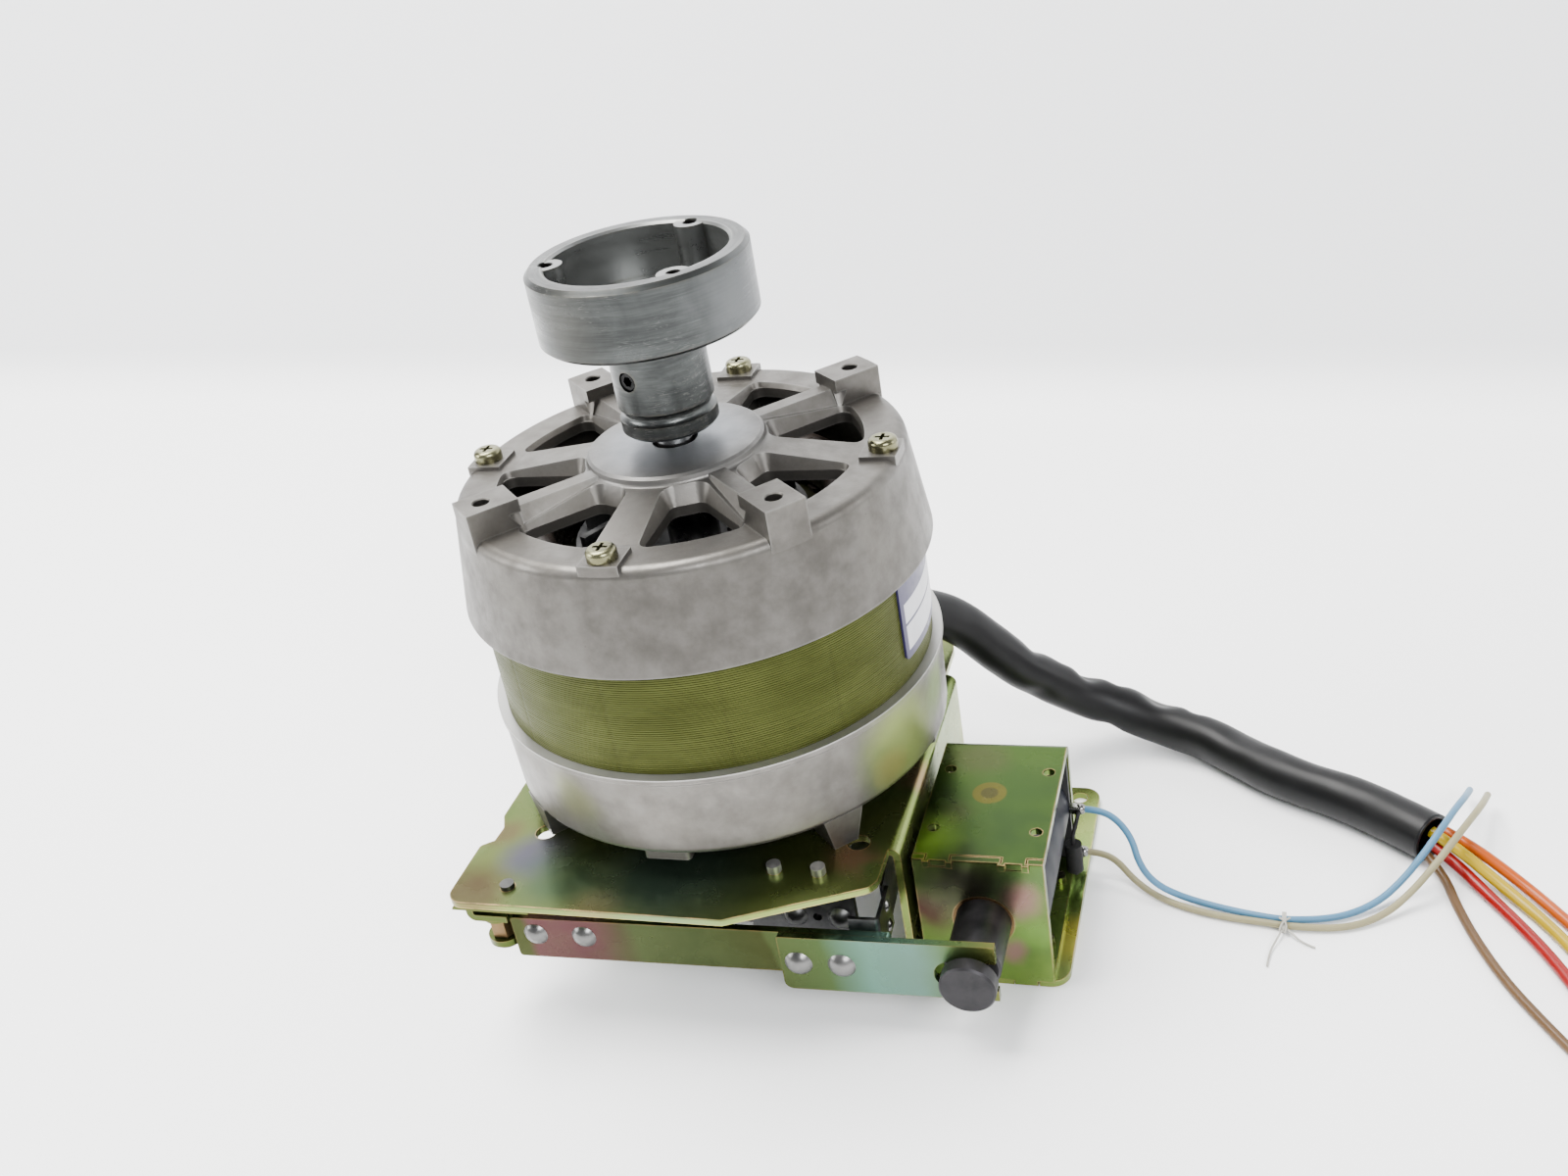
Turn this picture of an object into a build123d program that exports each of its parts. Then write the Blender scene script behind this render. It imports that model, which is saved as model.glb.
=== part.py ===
from build123d import *
import os
from math import cos, pi, radians, sin, tan

os.makedirs("parts", exist_ok=True)

# ---------------------------------------------------------------------------
# An AC motor with a solenoid-released band brake under it.
# Millimetres. Z is the shaft axis, pointing out of the output end. The origin
# is where the shaft axis meets the face of the four mounting bosses.
# +X points to the solenoid's side and -Y to the brake lever's side.
# ---------------------------------------------------------------------------

# Motor, driving dimensions
boss_pitch = 60.0
bell_radius = 50.0
core_radius = 47.1
rotor_radius = 25.6
shaft_radius = 4.0
bearing_radius = 11.0
bearing_width = 7.0
tie_circle = 43.5
m3 = 1.5
m4 = 2.0
fit = 0.05

# Levels along the shaft axis
disc_face = -1.5
rim_face = -5.9
disc_foot = -3.3
upper_bell_edge = -27.6
lower_bell_edge = -51.6
spigot = 3.0
core_top = upper_bell_edge + spigot
core_bottom = lower_bell_edge - spigot
lower_bell_floor = -71.0
plate_top = -78.0
sheet = 1.6
plate_bottom = plate_top - sheet
shelf_bottom = plate_top - 35.3
shelf_top = shelf_bottom + sheet
shaft_top = 26.0
shaft_bottom = -105.0

# Brake
drum_radius = 36.0
drum_top = plate_top - 5.0
drum_bottom = plate_top - 19.5
pivot_x = -42.0
pivot_y = -47.6
lever_angle = 1.3
bar_top = plate_top - 10.3
bar_bottom = plate_top - 20.9
fork_top = plate_top - 10.2
fork_bottom = plate_top - 24.0

# Solenoid
sol_left = 46.9
sol_right = 73.5
sol_front = -34.2
sol_back = 6.9
sol_top = plate_top - 2.4
plunger_x = 60.2
plunger_z = plate_top - 17.9
plunger_radius = 5.7

# Cords
sleeve_d = 11.0
lead_d = 2.5
brown_lead_d = 2.0
coil_lead_d = 1.5


def along(angle, radius, z=0.0):
    """A point at an angle, in degrees, and a radius about the shaft."""
    return Vector(radius * cos(radians(angle)), radius * sin(radians(angle)), z)


def corner(sketch, x, y):
    """The sketch's vertex that is nearest to a point of its own plane."""
    return sketch.vertices().sort_by_distance((x, y, 0))[0]


# ---------------------------------------------------------------------------
# Upper end bell: a die-cast cup with four bosses, ribs, screw tabs and vents
# ---------------------------------------------------------------------------
wall = 3.4
disc_radius = 18.3
slope_end = 37.0
boss_in = 36.2
boss_out = 47.2
boss_width = 8.6
boss_depth = 9.0
tap_radius = 1.65
tap_mouth = 1.9
tab_face = rim_face + 0.9
column_radius = 3.3
screw_clear = m3 + 0.1
housing_radius = 15.0
vent_in = 20.6
vent_out = 38.0
screw_spoke = 10.0
boss_spoke = 9.2
vent_corner = 2.4
vent_draft = 22.0
rib_top = -2.6
rib_width = 3.6
tab_width_upper = 8.2
shaft_hole = 4.8
front_bearing_top = -4.0
front_bearing_bottom = front_bearing_top - bearing_width


def vent_outline(grow):
    """Eight openings between the spokes, as a sketch, each larger by grow all round."""
    with BuildSketch() as outline:
        Circle(vent_out + grow)
        Circle(vent_in - grow, mode=Mode.SUBTRACT)
        with PolarLocations(0, 4):
            Rectangle(2 * bell_radius, screw_spoke - 2 * grow, mode=Mode.SUBTRACT)
        with PolarLocations(0, 4, start_angle=45):
            Rectangle(2 * bell_radius, boss_spoke - 2 * grow, mode=Mode.SUBTRACT)
        fillet(outline.vertices(), vent_corner + grow / 2)
    return outline.sketch


vent_mouth = disc_foot + 0.5
vent_throat = rim_face - 1.2
vent_mouths = vent_outline((vent_mouth - vent_throat) * tan(radians(vent_draft)))
vents = vent_outline(0.0)

with BuildPart() as upper_end_bell:
    with BuildSketch(Plane.XZ) as upper_section:
        with BuildLine():
            Polyline(
                (shaft_hole, disc_face),
                (disc_radius, disc_face),
                (disc_radius + 0.5, disc_foot),
                (slope_end, rim_face),
                (46.8, rim_face),
                (bell_radius, upper_bell_edge),
                (core_radius + fit, upper_bell_edge),
                (core_radius + fit, core_top),
                (45.2, core_top),
                (42.8, rim_face - wall),
                (housing_radius, rim_face - wall),
                (housing_radius, front_bearing_bottom - 1.0),
                (bearing_radius, front_bearing_bottom - 1.0),
                (bearing_radius, front_bearing_top),
                (shaft_hole, front_bearing_top),
                close=True,
            )
        make_face()
        fillet(corner(upper_section, 46.8, rim_face), 2.3)
        fillet(corner(upper_section, disc_radius + 0.5, disc_foot), 0.8)
        chamfer(corner(upper_section, disc_radius, disc_face), 0.5)
    revolve(axis=Axis.Z)
    # bosses, whose outer faces run out into the wall
    with BuildSketch(Plane.XY):
        with PolarLocations((boss_in + boss_out + 1.0) / 2, 4, start_angle=45):
            Rectangle(boss_out - boss_in + 1.0, boss_width)
        Circle(boss_out, mode=Mode.INTERSECT)
    extrude(amount=-boss_depth)
    # ribs from the bearing disc out to the bosses, with sloping sides
    with BuildSketch(Plane.XY.offset(rib_top)):
        with PolarLocations(27.0, 4, start_angle=45):
            Rectangle(22.0, rib_width)
    extrude(amount=rim_face - 1.0 - rib_top, taper=-30)
    # flat tabs under the tie-screw heads, and columns round the screws
    with BuildSketch(Plane.XY.offset(tab_face)):
        with PolarLocations(43.6, 4):
            Rectangle(8.6, tab_width_upper)
        Circle(46.9, mode=Mode.INTERSECT)
    extrude(amount=-3.6)
    with BuildSketch(Plane.XY.offset(rim_face - 1.0)):
        with PolarLocations(tie_circle, 4):
            Circle(column_radius)
    extrude(amount=core_top - rim_face + 1.0)
    # vents between the spokes, with sloping sides
    with BuildSketch(Plane.XY.offset(vent_mouth)):
        add(vent_mouths)
    extrude(amount=vent_throat - vent_mouth, taper=vent_draft, mode=Mode.SUBTRACT)
    with BuildSketch(Plane.XY):
        add(vents)
    extrude(amount=rim_face - wall - 1.0, mode=Mode.SUBTRACT)
    # tapped holes in the bosses, and clearance holes for the tie screws
    with GridLocations(boss_pitch, boss_pitch, 2, 2):
        CounterSinkHole(radius=tap_radius, counter_sink_radius=tap_mouth, depth=10.0)
    with BuildSketch(Plane.XY.offset(tab_face)):
        with PolarLocations(tie_circle, 4):
            Circle(screw_clear)
    extrude(amount=core_top - tab_face, mode=Mode.SUBTRACT)

# ---------------------------------------------------------------------------
# Lower end bell: the matching cup, with four feet and a cable outlet
# ---------------------------------------------------------------------------
foot_in = 39.4
foot_out = 47.6
foot_width = 5.6
foot_flare = 9.1
foot_circle = 44.0
lug_face = -73.1
rear_bearing_bottom = -69.5
rear_bearing_top = rear_bearing_bottom + bearing_width

sleeve_route = [
    (32.0, 30.2, -60.5),
    (38.6, 36.6, -65.0),
    (44.8, 41.5, -71.6),
    (50.9, 43.9, -79.4),
    (58.3, 46.7, -88.4),
    (68.8, 51.5, -97.4),
    (80.6, 52.7, -103.3),
    (93.2, 50.3, -106.9),
    (105.4, 44.0, -107.8),
    (115.8, 34.8, -107.8),
    (126.6, 29.1, -107.8),
    (137.8, 22.6, -107.8),
    (148.6, 13.6, -107.8),
]
outlet_axis = (Vector(*sleeve_route[1]) - Vector(*sleeve_route[0])).normalized()
outlet = Plane(origin=Vector(*sleeve_route[0]) + outlet_axis * 3.6, z_dir=outlet_axis)
outlet_length = 1.0
outlet_radius = 7.7
grommet_radius = 6.3

# one foot along +X, which gets wider and reaches further out towards the bell's floor
with BuildPart() as foot:
    with BuildSketch(Plane.XY.offset(plate_top)):
        with Locations(((foot_in + foot_out) / 2, 0)):
            Rectangle(foot_out - foot_in, foot_width)
    with BuildSketch(Plane.XY.offset(lower_bell_floor + 1.0)):
        with Locations(((foot_in + foot_out + 0.8) / 2, 0)):
            Rectangle(foot_out - foot_in + 0.8, foot_flare)
    loft()

with BuildPart() as lower_end_bell:
    with BuildSketch(Plane.XZ) as lower_section:
        with BuildLine():
            Polyline(
                (core_radius + fit, lower_bell_edge),
                (49.3, lower_bell_edge),
                (49.3, lower_bell_edge - 1.2),
                (48.9, lower_bell_edge - 1.6),
                (48.3, lower_bell_floor),
                (shaft_hole, lower_bell_floor),
                (shaft_hole, rear_bearing_bottom),
                (bearing_radius, rear_bearing_bottom),
                (bearing_radius, rear_bearing_top + 1.0),
                (housing_radius, rear_bearing_top + 1.0),
                (housing_radius, lower_bell_floor + wall),
                (44.6, lower_bell_floor + wall),
                (45.2, core_bottom),
                (core_radius + fit, core_bottom),
                close=True,
            )
        make_face()
        fillet(corner(lower_section, 48.3, lower_bell_floor), 1.6)
    revolve(axis=Axis.Z)
    # cable outlet, a short round boss that points out and down
    with BuildSketch(outlet):
        Circle(outlet_radius)
    extrude(amount=outlet_length)
    # columns round the tie screws, and the lugs that they are screwed into
    with BuildSketch(Plane.XY.offset(core_bottom)):
        with PolarLocations(tie_circle, 4):
            Circle(column_radius)
    extrude(amount=lower_bell_floor - core_bottom)
    with BuildSketch(Plane.XY.offset(lug_face)):
        with PolarLocations(43.0, 4):
            RectangleRounded(8.0, 10.0, 1.0)
    extrude(amount=lower_bell_floor - lug_face + 1.6)
    # feet
    with PolarLocations(0, 4, start_angle=45):
        add(foot.part)
    # vents
    with BuildSketch(Plane.XY.offset(lower_bell_floor)):
        add(vents)
    extrude(amount=wall, mode=Mode.SUBTRACT)
    # holes: cable, tie screws, and the tapped holes in the feet
    with BuildSketch(outlet.offset(-8.0)):
        Circle(grommet_radius)
    extrude(amount=outlet_length + 8.0, mode=Mode.SUBTRACT)
    with BuildSketch(outlet.offset(outlet_length)):
        Circle(outlet_radius)
    extrude(amount=6.0, mode=Mode.SUBTRACT)
    with BuildSketch(Plane.XY.offset(lug_face)):
        with PolarLocations(tie_circle, 4):
            Circle(m3 + fit)
    extrude(amount=core_bottom - lug_face, mode=Mode.SUBTRACT)
    with BuildSketch(Plane.XY.offset(plate_top)):
        with PolarLocations(foot_circle, 4, start_angle=45):
            Circle(m3 + fit)
    extrude(amount=8.0, mode=Mode.SUBTRACT)

# ---------------------------------------------------------------------------
# Stator
# ---------------------------------------------------------------------------
slots = 24
air_gap = 0.5
slot_in = 28.2
slot_out = 37.0
slot_width = 4.4
slot_mouth = 2.0

with BuildPart() as stator_core:
    with BuildSketch(Plane.XY.offset(core_bottom)):
        Circle(core_radius)
        Circle(rotor_radius + air_gap, mode=Mode.SUBTRACT)
        with PolarLocations((slot_in + slot_out) / 2, slots):
            RectangleRounded(slot_out - slot_in, slot_width, 1.2, mode=Mode.SUBTRACT)
        with PolarLocations(slot_in - 1.0, slots):
            Rectangle(4.4, slot_mouth, mode=Mode.SUBTRACT)
        with PolarLocations(tie_circle, 4):
            Circle(screw_clear, mode=Mode.SUBTRACT)
    extrude(amount=core_top - core_bottom)

turns_in = 28.6
turns_out = 36.4
upper_turns = 10.0
lower_turns = 9.0

with BuildPart() as stator_windings:
    with BuildSketch(Plane.XY.offset(core_bottom - 1.0)):
        with PolarLocations((slot_in + slot_out) / 2, slots):
            RectangleRounded(slot_out - slot_in - 0.8, slot_width - 0.6, 1.0)
    extrude(amount=core_top - core_bottom + 2.0)
    with BuildSketch(Plane.XZ) as turns_section:
        with Locations(((turns_in + turns_out) / 2, core_top + 0.4 + upper_turns / 2)):
            RectangleRounded(turns_out - turns_in, upper_turns, 3.0)
        with Locations(((turns_in + turns_out) / 2, core_bottom - 0.4 - lower_turns / 2)):
            RectangleRounded(turns_out - turns_in, lower_turns, 3.0)
    revolve(axis=Axis.Z)

# ---------------------------------------------------------------------------
# Tie screws, from the upper bell through the stator into the lower bell's lugs
# ---------------------------------------------------------------------------
tie_end = lug_face - 1.4
head_radius = 3.0
head_height = 2.4

with BuildPart() as tie_screw:
    with BuildSketch(Plane.XY.offset(tie_end)):
        Circle(m3)
    extrude(amount=tab_face - tie_end)
    with BuildSketch(Plane.XY.offset(tab_face)):
        Circle(head_radius)
    extrude(amount=head_height)
    fillet(tie_screw.edges().sort_by(Axis.Z)[-1], 1.1)
    with BuildSketch(Plane.XY.offset(tab_face + head_height)):
        Rectangle(head_radius, head_radius / 4)
        Rectangle(head_radius / 4, head_radius)
    extrude(amount=-1.2, mode=Mode.SUBTRACT)

with BuildPart() as tie_screws:
    with PolarLocations(tie_circle, 4):
        add(tie_screw.part)

# ---------------------------------------------------------------------------
# Ball bearings, one in each end bell
# ---------------------------------------------------------------------------
race_out = 9.3
race_in = 5.8
ball_radius = 1.6
balls = 8


def ring(inner, outer, bottom, height):
    """A plain ring about the shaft axis."""
    with BuildPart() as made:
        with BuildSketch(Plane.XY.offset(bottom)):
            Circle(outer)
            Circle(inner, mode=Mode.SUBTRACT)
        extrude(amount=height)
    return made


def ball_set(middle):
    """The balls of one bearing, at their level along the shaft."""
    with BuildPart(Plane.XY.offset(middle)) as made:
        with PolarLocations((race_in + race_out) / 2, balls):
            Sphere(ball_radius)
    return made


front_bearing_outer_ring = ring(race_out, bearing_radius, front_bearing_bottom, bearing_width)
front_bearing_inner_ring = ring(shaft_radius, race_in, front_bearing_bottom, bearing_width)
front_bearing_balls = ball_set(front_bearing_bottom + bearing_width / 2)
rear_bearing_outer_ring = ring(race_out, bearing_radius, rear_bearing_bottom, bearing_width)
rear_bearing_inner_ring = ring(shaft_radius, race_in, rear_bearing_bottom, bearing_width)
rear_bearing_balls = ball_set(rear_bearing_bottom + bearing_width / 2)

# ---------------------------------------------------------------------------
# Rotor: shaft, laminated core and cast cage with fan blades
# ---------------------------------------------------------------------------
shoulder_radius = 5.5
end_ring_in = 15.5
end_ring_out = 24.8
end_ring_height = 4.0
blade_height = 4.5
blades = 10

with BuildPart() as shaft:
    with BuildSketch(Plane.XZ):
        with BuildLine():
            Polyline(
                (0, shaft_top),
                (shaft_radius - 0.5, shaft_top),
                (shaft_radius, shaft_top - 0.5),
                (shaft_radius, front_bearing_bottom),
                (shoulder_radius, front_bearing_bottom),
                (shoulder_radius, rear_bearing_top),
                (shaft_radius, rear_bearing_top),
                (shaft_radius, shaft_bottom + 0.5),
                (shaft_radius - 0.5, shaft_bottom),
                (0, shaft_bottom),
                close=True,
            )
        make_face()
    revolve(axis=Axis.Z)

with BuildPart() as rotor_core:
    with BuildSketch(Plane.XY.offset(core_bottom)):
        Circle(rotor_radius)
        Circle(shoulder_radius, mode=Mode.SUBTRACT)
    extrude(amount=core_top - core_bottom)

with BuildPart() as rotor_cage:
    for level, up in ((core_top, 1), (core_bottom, -1)):
        with BuildSketch(Plane.XY.offset(level)):
            Circle(end_ring_out)
            Circle(end_ring_in, mode=Mode.SUBTRACT)
        extrude(amount=up * end_ring_height)
        with BuildSketch(Plane.XY.offset(level + up * end_ring_height)):
            with PolarLocations((end_ring_in + end_ring_out) / 2, blades):
                Rectangle(end_ring_out - end_ring_in - 1.6, 1.6, rotation=25)
        extrude(amount=up * blade_height)

# ---------------------------------------------------------------------------
# Drive hub: a cup-shaped carrier on a turned neck
# ---------------------------------------------------------------------------
hub_bottom = 2.0
neck_radius = 9.9
groove_low = 5.2
groove_high = 7.8
ring_bottom = 23.6
ring_top = 38.2
ring_radius = 22.2
ring_bore = 18.2
cup_floor = 27.4
hub_screw_circle = 18.0
hub_screw_angle = 73.0
hub_tap = 1.25
hub_lug = 3.3
set_screw_z = 14.9
set_screw_angle = -112.0


def radial(angle, radius, z):
    """A plane that faces outwards from the shaft, at an angle, a radius and a level."""
    return Plane(origin=along(angle, radius, z), z_dir=along(angle, 1.0))


with BuildPart() as drive_hub:
    with BuildSketch(Plane.XZ) as hub_section:
        with BuildLine():
            Polyline(
                (shaft_radius, hub_bottom),
                (neck_radius - 0.6, hub_bottom),
                (neck_radius + 0.1, hub_bottom + 0.7),
                (neck_radius + 0.1, groove_low),
            )
            ThreePointArc(
                (neck_radius + 0.1, groove_low),
                (neck_radius - 0.9, (groove_low + groove_high) / 2),
                (neck_radius, groove_high),
            )
            Polyline(
                (neck_radius, groove_high),
                (neck_radius, ring_bottom),
                (ring_radius, ring_bottom),
                (ring_radius, ring_top),
                (ring_bore, ring_top),
                (ring_bore, cup_floor),
                (shaft_radius, cup_floor),
                (shaft_radius, hub_bottom),
            )
        make_face()
        chamfer(corner(hub_section, ring_radius, ring_top), 0.9)
        chamfer(corner(hub_section, ring_bore, ring_top), 0.5)
        chamfer(corner(hub_section, ring_radius, ring_bottom), 0.7)
        fillet(corner(hub_section, neck_radius, ring_bottom), 0.8)
    revolve(axis=Axis.Z)
    # lugs inside the ring, each with a tapped hole
    with BuildSketch(Plane.XY.offset(cup_floor)):
        with PolarLocations(hub_screw_circle, 3, start_angle=hub_screw_angle):
            Circle(hub_lug)
        Circle(ring_bore + 0.6, mode=Mode.INTERSECT)
    extrude(amount=ring_top - cup_floor - 0.25)
    with BuildSketch(Plane.XY.offset(ring_top)):
        with PolarLocations(hub_screw_circle, 3, start_angle=hub_screw_angle):
            Circle(hub_tap)
    extrude(amount=-8.5, mode=Mode.SUBTRACT)
    with BuildSketch(Plane.XY.offset(ring_top)):
        with PolarLocations(hub_screw_circle, 3, start_angle=hub_screw_angle):
            Circle(hub_tap + 0.4)
    extrude(amount=-0.6, taper=38, mode=Mode.SUBTRACT)
    # cross holes for the set screws
    for angle in (set_screw_angle, set_screw_angle - 90):
        with BuildSketch(radial(angle, neck_radius + 1.0, set_screw_z)):
            Circle(m4 + fit)
        extrude(amount=-(neck_radius + 1.0 - shaft_radius) - 0.3, mode=Mode.SUBTRACT)


def set_screw(angle, radius, z, length):
    """A socket set screw whose outer end lies at a radius from the shaft axis."""
    with BuildPart() as made:
        with BuildSketch(radial(angle, radius, z)):
            Circle(m4)
        extrude(amount=-length)
        rims = made.edges().filter_by(GeomType.CIRCLE)
        chamfer(rims.sort_by_distance(along(angle, radius, z))[0], 0.3)
        with BuildSketch(radial(angle, radius, z)):
            RegularPolygon(1.0, 6, major_radius=False)
        extrude(amount=-2.4, mode=Mode.SUBTRACT)
    return made.part


with BuildPart() as hub_set_screws:
    for angle in (set_screw_angle, set_screw_angle - 90):
        add(set_screw(angle, neck_radius - 0.4, set_screw_z, neck_radius - 0.4 - shaft_radius - 0.1))

# ---------------------------------------------------------------------------
# Base plate: one folded sheet with a flat top, a wall and a low shelf
# ---------------------------------------------------------------------------
wall_out = 44.9
wall_in = wall_out - sheet
wall_front = -34.6
wall_back = 29.0
plate_right = 42.5
plate_front = -58.3
plate_back = 44.8
plate_left = -46.0
shelf_right = 76.3
shelf_front = -33.8
shelf_back = 31.5
shaft_opening = 13.0
anchor_xs = (20.7, 30.0)
anchor_y = -42.8
bracket_screw = (-34.8, -52.7)
spare_holes = ((36.0, -33.0), (-33.6, -34.7))

with BuildPart() as base_plate:
    with BuildSketch(Plane.XY.offset(plate_bottom)) as plate_plan:
        with BuildLine():
            Polyline(
                (plate_left - 1.0, plate_front),
                (14.0, plate_front),
                (plate_right, -45.7),
                (plate_right, plate_back),
                (-38.0, plate_back),
                (plate_left, 36.0),
                (plate_left, -30.0),
                (plate_left + 1.8, -34.0),
                (plate_left + 1.6, -38.4),
                (plate_left - 1.0, -40.4),
                close=True,
            )
        make_face()
        fillet(corner(plate_plan, plate_left - 1.0, plate_front), 3.6)
        fillet(corner(plate_plan, plate_right, -45.7), 4.0)
        fillet(corner(plate_plan, plate_right, plate_back), 5.0)
        fillet(corner(plate_plan, plate_left + 1.8, -34.0), 2.0)
        fillet(corner(plate_plan, plate_left, -30.0), 1.5)
        fillet(corner(plate_plan, plate_left - 1.0, -40.4), 1.2)
        Circle(shaft_opening, mode=Mode.SUBTRACT)
        with PolarLocations(foot_circle, 4, start_angle=45):
            Circle(screw_clear, mode=Mode.SUBTRACT)
        with Locations(*spare_holes):
            Circle(2.4, mode=Mode.SUBTRACT)
        with Locations(*[(x, anchor_y) for x in anchor_xs], bracket_screw):
            Circle(m3 + fit, mode=Mode.SUBTRACT)
    extrude(amount=sheet)
    # the fold down the wall and out along the shelf
    with BuildSketch(Plane.XZ.offset(-wall_back)) as fold_section:
        with BuildLine():
            Polyline(
                (plate_right - 2.0, plate_top),
                (wall_out, plate_top),
                (wall_out, shelf_top),
                (sol_left + 4.0, shelf_top),
                (sol_left + 4.0, shelf_bottom),
                (wall_in, shelf_bottom),
                (wall_in, plate_bottom),
                (plate_right - 2.0, plate_bottom),
                close=True,
            )
        make_face()
        fillet(corner(fold_section, wall_out, plate_top), 2.2)
        fillet(corner(fold_section, wall_in, plate_bottom), 0.6)
        fillet(corner(fold_section, wall_out, shelf_top), 0.6)
        fillet(corner(fold_section, wall_in, shelf_bottom), 2.2)
    extrude(amount=wall_back - wall_front)
    with BuildSketch(Plane.XY.offset(shelf_bottom)) as shelf_plan:
        with BuildLine():
            Polyline(
                (sol_left + 2.0, shelf_front),
                (shelf_right, shelf_front),
                (shelf_right, shelf_back),
                (sol_left + 2.0, shelf_back),
                close=True,
            )
        make_face()
        fillet(corner(shelf_plan, shelf_right, shelf_front), 4.0)
        fillet(corner(shelf_plan, shelf_right, shelf_back), 4.0)
    extrude(amount=sheet)

# ---------------------------------------------------------------------------
# Screws of the base plate
# ---------------------------------------------------------------------------


def screw_from_below(x, y, face, radius, head, length):
    """A pan-head screw whose head bears on a face above it and whose shank points up."""
    with BuildPart() as made:
        with BuildSketch(Plane.XY.offset(face)):
            with Locations((x, y)):
                Circle(radius)
        extrude(amount=length)
        with BuildSketch(Plane.XY.offset(face)):
            with Locations((x, y)):
                Circle(head)
        extrude(amount=-0.7 * head, taper=14)
        with BuildSketch(Plane.XY.offset(face - 0.7 * head)):
            with Locations((x, y)):
                Rectangle(head, head / 4)
                Rectangle(head / 4, head)
        extrude(amount=0.4 * head, mode=Mode.SUBTRACT)
    return made.part


with BuildPart() as foot_screws:
    for angle in (45, 135, 225, 315):
        centre = along(angle, foot_circle)
        add(screw_from_below(centre.X, centre.Y, plate_bottom, m3, 2.7, 8.0))

# ---------------------------------------------------------------------------
# Anchor of the brake band: a dark angle bracket under the plate
# ---------------------------------------------------------------------------
anchor_left = 12.3
anchor_right = 35.2
anchor_front = -46.0
band_height = 12.0
band_top = plate_top - 6.4
band_z = band_top - band_height / 2
band_gap = 0.35
lining = 1.6
band = 0.6
band_middle = drum_radius + band_gap + lining + band / 2
anchor_back = -(band_middle + band / 2)
anchor_rivet_xs = (22.0, 31.8)
anchor_rivet_z = plate_top - 14.3

with BuildPart() as anchor_bracket:
    with BuildSketch(Plane.YZ.offset(anchor_left)) as anchor_section:
        with BuildLine():
            Polyline(
                (anchor_front, plate_bottom),
                (anchor_back, plate_bottom),
                (anchor_back, plate_top - 19.5),
                (anchor_back - sheet, plate_top - 19.5),
                (anchor_back - sheet, plate_bottom - sheet),
                (anchor_front, plate_bottom - sheet),
                close=True,
            )
        make_face()
        fillet(corner(anchor_section, anchor_back, plate_bottom), 2.0)
        fillet(corner(anchor_section, anchor_back - sheet, plate_bottom - sheet), 0.5)
    extrude(amount=anchor_right - anchor_left)
    with BuildSketch(Plane.XY.offset(plate_bottom)):
        with Locations(*[(x, anchor_y) for x in anchor_xs]):
            Circle(m3 + fit)
    extrude(amount=-sheet, mode=Mode.SUBTRACT)
    with BuildSketch(Plane.XZ.offset(-anchor_back)):
        with Locations(*[(x, anchor_rivet_z) for x in anchor_rivet_xs]):
            Circle(1.2 + fit)
        with Locations((sum(anchor_rivet_xs) / 2, anchor_rivet_z)):
            Circle(1.0)
    extrude(amount=sheet, mode=Mode.SUBTRACT)

with BuildPart() as anchor_screws:
    for x in anchor_xs:
        add(screw_from_below(x, anchor_y, plate_bottom - sheet, m3, 2.3, 2 * sheet + 1.7))


def dome_rivet(plane, head, height, shank, length):
    """A rivet with a domed head on the plane and a shank going down from it."""
    with BuildPart() as made:
        with BuildSketch(plane):
            Circle(shank)
        extrude(amount=-length)
        ball = (head**2 + height**2) / (2 * height)
        cap = Sphere(ball, mode=Mode.PRIVATE)
        over = Box(
            2 * head, 2 * head, height, align=(Align.CENTER, Align.CENTER, Align.MIN), mode=Mode.PRIVATE
        )
        add(plane.location * (over & (Pos(0, 0, height - ball) * cap)))
    return made.part


with BuildPart() as anchor_rivets:
    for x in anchor_rivet_xs:
        face = Plane(origin=(x, anchor_back - sheet, anchor_rivet_z), z_dir=(0, -1, 0))
        add(dome_rivet(face, 2.7, 1.5, 1.2, sheet + band + 0.4))

# ---------------------------------------------------------------------------
# Brake drum, band and lining
# ---------------------------------------------------------------------------
drum_hub = 9.0
drum_hub_bottom = plate_top - 25.4
drum_screw_z = plate_top - 22.4
drum_screw_angle = -60.0
pull_x = 41.0
pull_y = -38.6
tangent_angle = 4.0

with BuildPart() as brake_drum:
    with BuildSketch(Plane.XZ) as drum_section:
        with BuildLine():
            Polyline(
                (shaft_radius, drum_top),
                (drum_radius, drum_top),
                (drum_radius, drum_bottom),
                (drum_radius - 3.2, drum_bottom),
                (drum_radius - 3.6, drum_top - 3.2),
                (drum_hub + 1.0, drum_top - 3.2),
                (drum_hub, drum_hub_bottom),
                (shaft_radius, drum_hub_bottom),
                close=True,
            )
        make_face()
        fillet(corner(drum_section, drum_radius - 3.6, drum_top - 3.2), 1.5)
        fillet(corner(drum_section, drum_hub + 1.0, drum_top - 3.2), 1.5)
        chamfer(corner(drum_section, drum_radius, drum_top), 0.6)
        chamfer(corner(drum_section, drum_radius, drum_bottom), 0.6)
    revolve(axis=Axis.Z)
    with BuildSketch(Plane.XY.offset(drum_top)):
        with PolarLocations(21.0, 4):
            Circle(5.0)
    extrude(amount=-4.0, mode=Mode.SUBTRACT)
    with BuildSketch(radial(drum_screw_angle, drum_hub + 2.0, drum_screw_z)):
        Circle(m4 + fit)
    extrude(amount=-(drum_hub + 2.0 - shaft_radius) - 0.3, mode=Mode.SUBTRACT)

with BuildPart() as drum_set_screw:
    add(set_screw(drum_screw_angle, drum_hub - 0.2, drum_screw_z, drum_hub - 0.3 - shaft_radius))

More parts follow.
